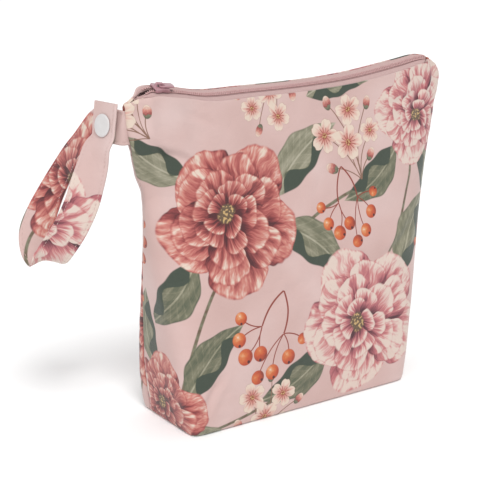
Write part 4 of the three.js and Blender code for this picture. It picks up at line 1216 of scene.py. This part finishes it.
def woven(draw, along, along_pitch, across, across_pitch):
    """The rise and fall of threads that cross each other."""
    warp = draw.calc("SINE", along * (2 * math.pi / along_pitch))
    return warp * draw.calc("SINE", across * (2 * math.pi / across_pitch))


def printed_finish(name, group, offset):
    """The printed laminated cloth: the print, a fine weave, a soft sheen and small creases."""
    material, inputs, draw = plain_finish(
        name, ink("ground"), CLOTH_ROUGHNESS, Sheen_Weight=0.18, Sheen_Roughness=0.5,
    )
    uv = draw.node("ShaderNodeUVMap", uv_map="cloth")
    place = draw.vector("MULTIPLY_ADD", uv, (1 / MM, 1 / MM, 0), (*offset, 0))
    x, y = draw.parts(place)
    weave = woven(draw, x, WEAVE_PITCH, y, WEAVE_PITCH)
    shown = draw.node("ShaderNodeGroup", {0: place}, node_tree=group)
    draw.join(inputs["Base Color"], draw.enlarged(shown, weave * 0.035 + 0.985))
    crease = draw.noise(draw.vector("MULTIPLY", place, (1.0, 1.7, 1.0)), 0.09, 3.0, 0.55)
    fold = draw.noise(draw.vector("MULTIPLY", place, (1.0, 1.3, 1.0)), 0.045, 2.0, 0.5)
    height = weave * 0.02 + crease * 0.7 + abs(fold * 2.0 - 1.0) * 1.6
    draw.join(inputs["Normal"], draw.bumped(height, 0.35, 0.0012))
    draw.join(inputs["Roughness"], draw.noise(place, 0.4, 2.0) * 0.2 + (CLOTH_ROUGHNESS - 0.1))
    return material


# Where the dark line beside the coil lies across each tape's flat width, in millimetres
# The line is partly a thread row and partly painted shade of the groove between coil and tape
COIL_GROOVE_SHADE_LINES = (6.64, 2.16)


def woven_tape_finish():
    """Zipper tape: fine ribs across it, and beside each side of the coil a thread line darkened with
    painted groove shade.
    """
    material, inputs, draw = plain_finish("woven_tape", ink("tape"), 0.8, Sheen_Weight=0.15)
    uv = draw.node("ShaderNodeUVMap", uv_map="cloth")
    x, y = draw.parts(draw.enlarged(uv, 1 / MM))
    ribs = woven(draw, x, 0.5, y, 0.6)
    tone = ribs * 0.08 + draw.noise(uv, 600, 2.0) * 0.3 + 0.35
    colour = draw.ramp(tone, ((0.2, "tape_shade"), (0.5, "tape"), (0.85, "tape_light")))
    # A dark line along each side of the coil: partly the thread row, partly painted shade of the groove
    lines = draw.highest(*(draw.step(abs(y - line), 0.34, 0.12) for line in COIL_GROOVE_SHADE_LINES))
    draw.join(inputs["Base Color"], draw.blend(lines * 0.85, colour, "tape_groove_shade"))
    draw.join(inputs["Normal"], draw.bumped(ribs, 0.4, 0.0002))
    return material


def object_finish(name, low, high, roughness, scale, bump, **sockets):
    """A hard finish with a slight change of tone and roughness over the piece."""
    material, inputs, draw = plain_finish(name, ink(high), roughness, **sockets)
    place = draw.node("ShaderNodeTexCoord", output="Object")
    tone = draw.noise(place, scale, 3.0)
    draw.join(inputs["Base Color"], draw.ramp(tone, ((0.35, low), (0.65, high))))
    draw.join(inputs["Roughness"], tone * 0.2 + (roughness - 0.1))
    draw.join(inputs["Normal"], draw.bumped(draw.noise(place, 4 * scale, 2.0), bump, 0.0001))
    return material


flowers = floral_print()
front_finish = printed_finish("printed_cloth", flowers, (0, 0))
back_finish = printed_finish("printed_cloth_back", flowers, (95, 64))
strap_finish = printed_finish("printed_strap", flowers, (-60, -35))
tape_finish = woven_tape_finish()
nylon_finish = object_finish("nylon_coil", "nylon_dark", "nylon", 0.42, 900, 0.1)
enamel_finish = object_finish("enamelled_metal", "enamel_dark", "enamel", 0.34, 500, 0.05, Coat_Weight=0.3)
snap_finish = object_finish("moulded_snap", "snap_shade", "snap", 0.32, 260, 0.04, Coat_Weight=0.15)
thread_finish = object_finish("sewing_thread", "thread_shade", "thread", 0.7, 1200, 0.2)

panel(-1, FRONT_DENTS, "front_cloth", front_finish, "front_panel")
panel(1, BACK_DENTS, "back_cloth", back_finish, "back_panel")
tape(-1, "front_tape", tape_finish, "zipper_tape_front")
tape(1, "back_tape", tape_finish, "zipper_tape_back")
coil(-1, "front_coil_turns", nylon_finish, "zipper_coil_front")
coil(1, "back_coil_turns", nylon_finish, "zipper_coil_back")
softened_copy("slider", "slider_body", "bag", enamel_finish)
softened_copy("pull_tab", "pull_plate", "pull", enamel_finish)
strap("wrist_strap", strap_finish)
strap_stitches("strap_topstitch", thread_finish)
snap(snap_finish)


# Floor, light and camera
WORLD_LIGHT = 0.66
SUN_POWER = 1.8
SUN_WIDTH = 20
SUN_FROM = (-0.3, -0.68, 1.0)
BAG_MIDDLE = (0, 0, 0.1)
CAMERA_PLACE = (-0.4283, -0.5858, 0.3)
CAMERA_TILT = 74.37
CAMERA_TURN = -34.4
CAMERA_LENS = 94.875
FLOOR_HALF = 6
FLOOR_DROP = 0.0002


def aimed_light(lamp, place, target):
    """Puts a light in the scene and turns it to its target."""
    holder = bpy.data.objects.new(lamp.name, lamp)
    holder.location = place
    holder.rotation_euler = (Vector(target) - Vector(place)).to_track_quat("-Z", "Y").to_euler()
    bpy.context.scene.collection.objects.link(holder)


def soft_light(name, place, size, power):
    lamp = bpy.data.lights.new(name, "AREA")
    lamp.shape = "RECTANGLE"
    lamp.size = lamp.size_y = size
    lamp.energy = power
    aimed_light(lamp, place, BAG_MIDDLE)


def pale_floor():
    bm = bmesh.new()
    bmesh.ops.create_grid(bm, x_segments=1, y_segments=1, size=FLOOR_HALF)
    mesh = bpy.data.meshes.new("floor")
    bm.to_mesh(mesh)
    bm.free()
    mesh.materials.append(plain_finish("pale_floor", (0.95, 0.95, 0.95, 1), 0.9)[0])
    floor = bpy.data.objects.new("floor", mesh)
    floor.location.z = -FLOOR_DROP
    bpy.context.scene.collection.objects.link(floor)


def studio():
    scene = bpy.context.scene
    pale_floor()
    world = bpy.data.worlds.new("studio")
    world.use_nodes = True
    background = world.node_tree.nodes["Background"].inputs
    background["Color"].default_value = (1, 1, 1, 1)
    background["Strength"].default_value = WORLD_LIGHT
    scene.world = world
    sun = bpy.data.lights.new("key", "SUN")
    sun.energy = SUN_POWER
    sun.angle = math.radians(SUN_WIDTH)
    aimed_light(sun, SUN_FROM, (0, 0, 0))
    soft_light("fill", (-1.2, -0.6, 0.6), 0.8, 2.6)
    soft_light("rear", (0.9, 1.3, 0.8), 2, 3)
    lens = bpy.data.cameras.new("camera")
    lens.sensor_width = 36
    lens.lens = CAMERA_LENS
    lens.clip_start = 0.01
    camera = bpy.data.objects.new("camera", lens)
    camera.location = CAMERA_PLACE
    camera.rotation_euler = (math.radians(CAMERA_TILT), 0, math.radians(CAMERA_TURN))
    scene.collection.objects.link(camera)
    scene.camera = camera
    scene.view_settings.view_transform = "Standard"


studio()
bpy.context.view_layer.update()
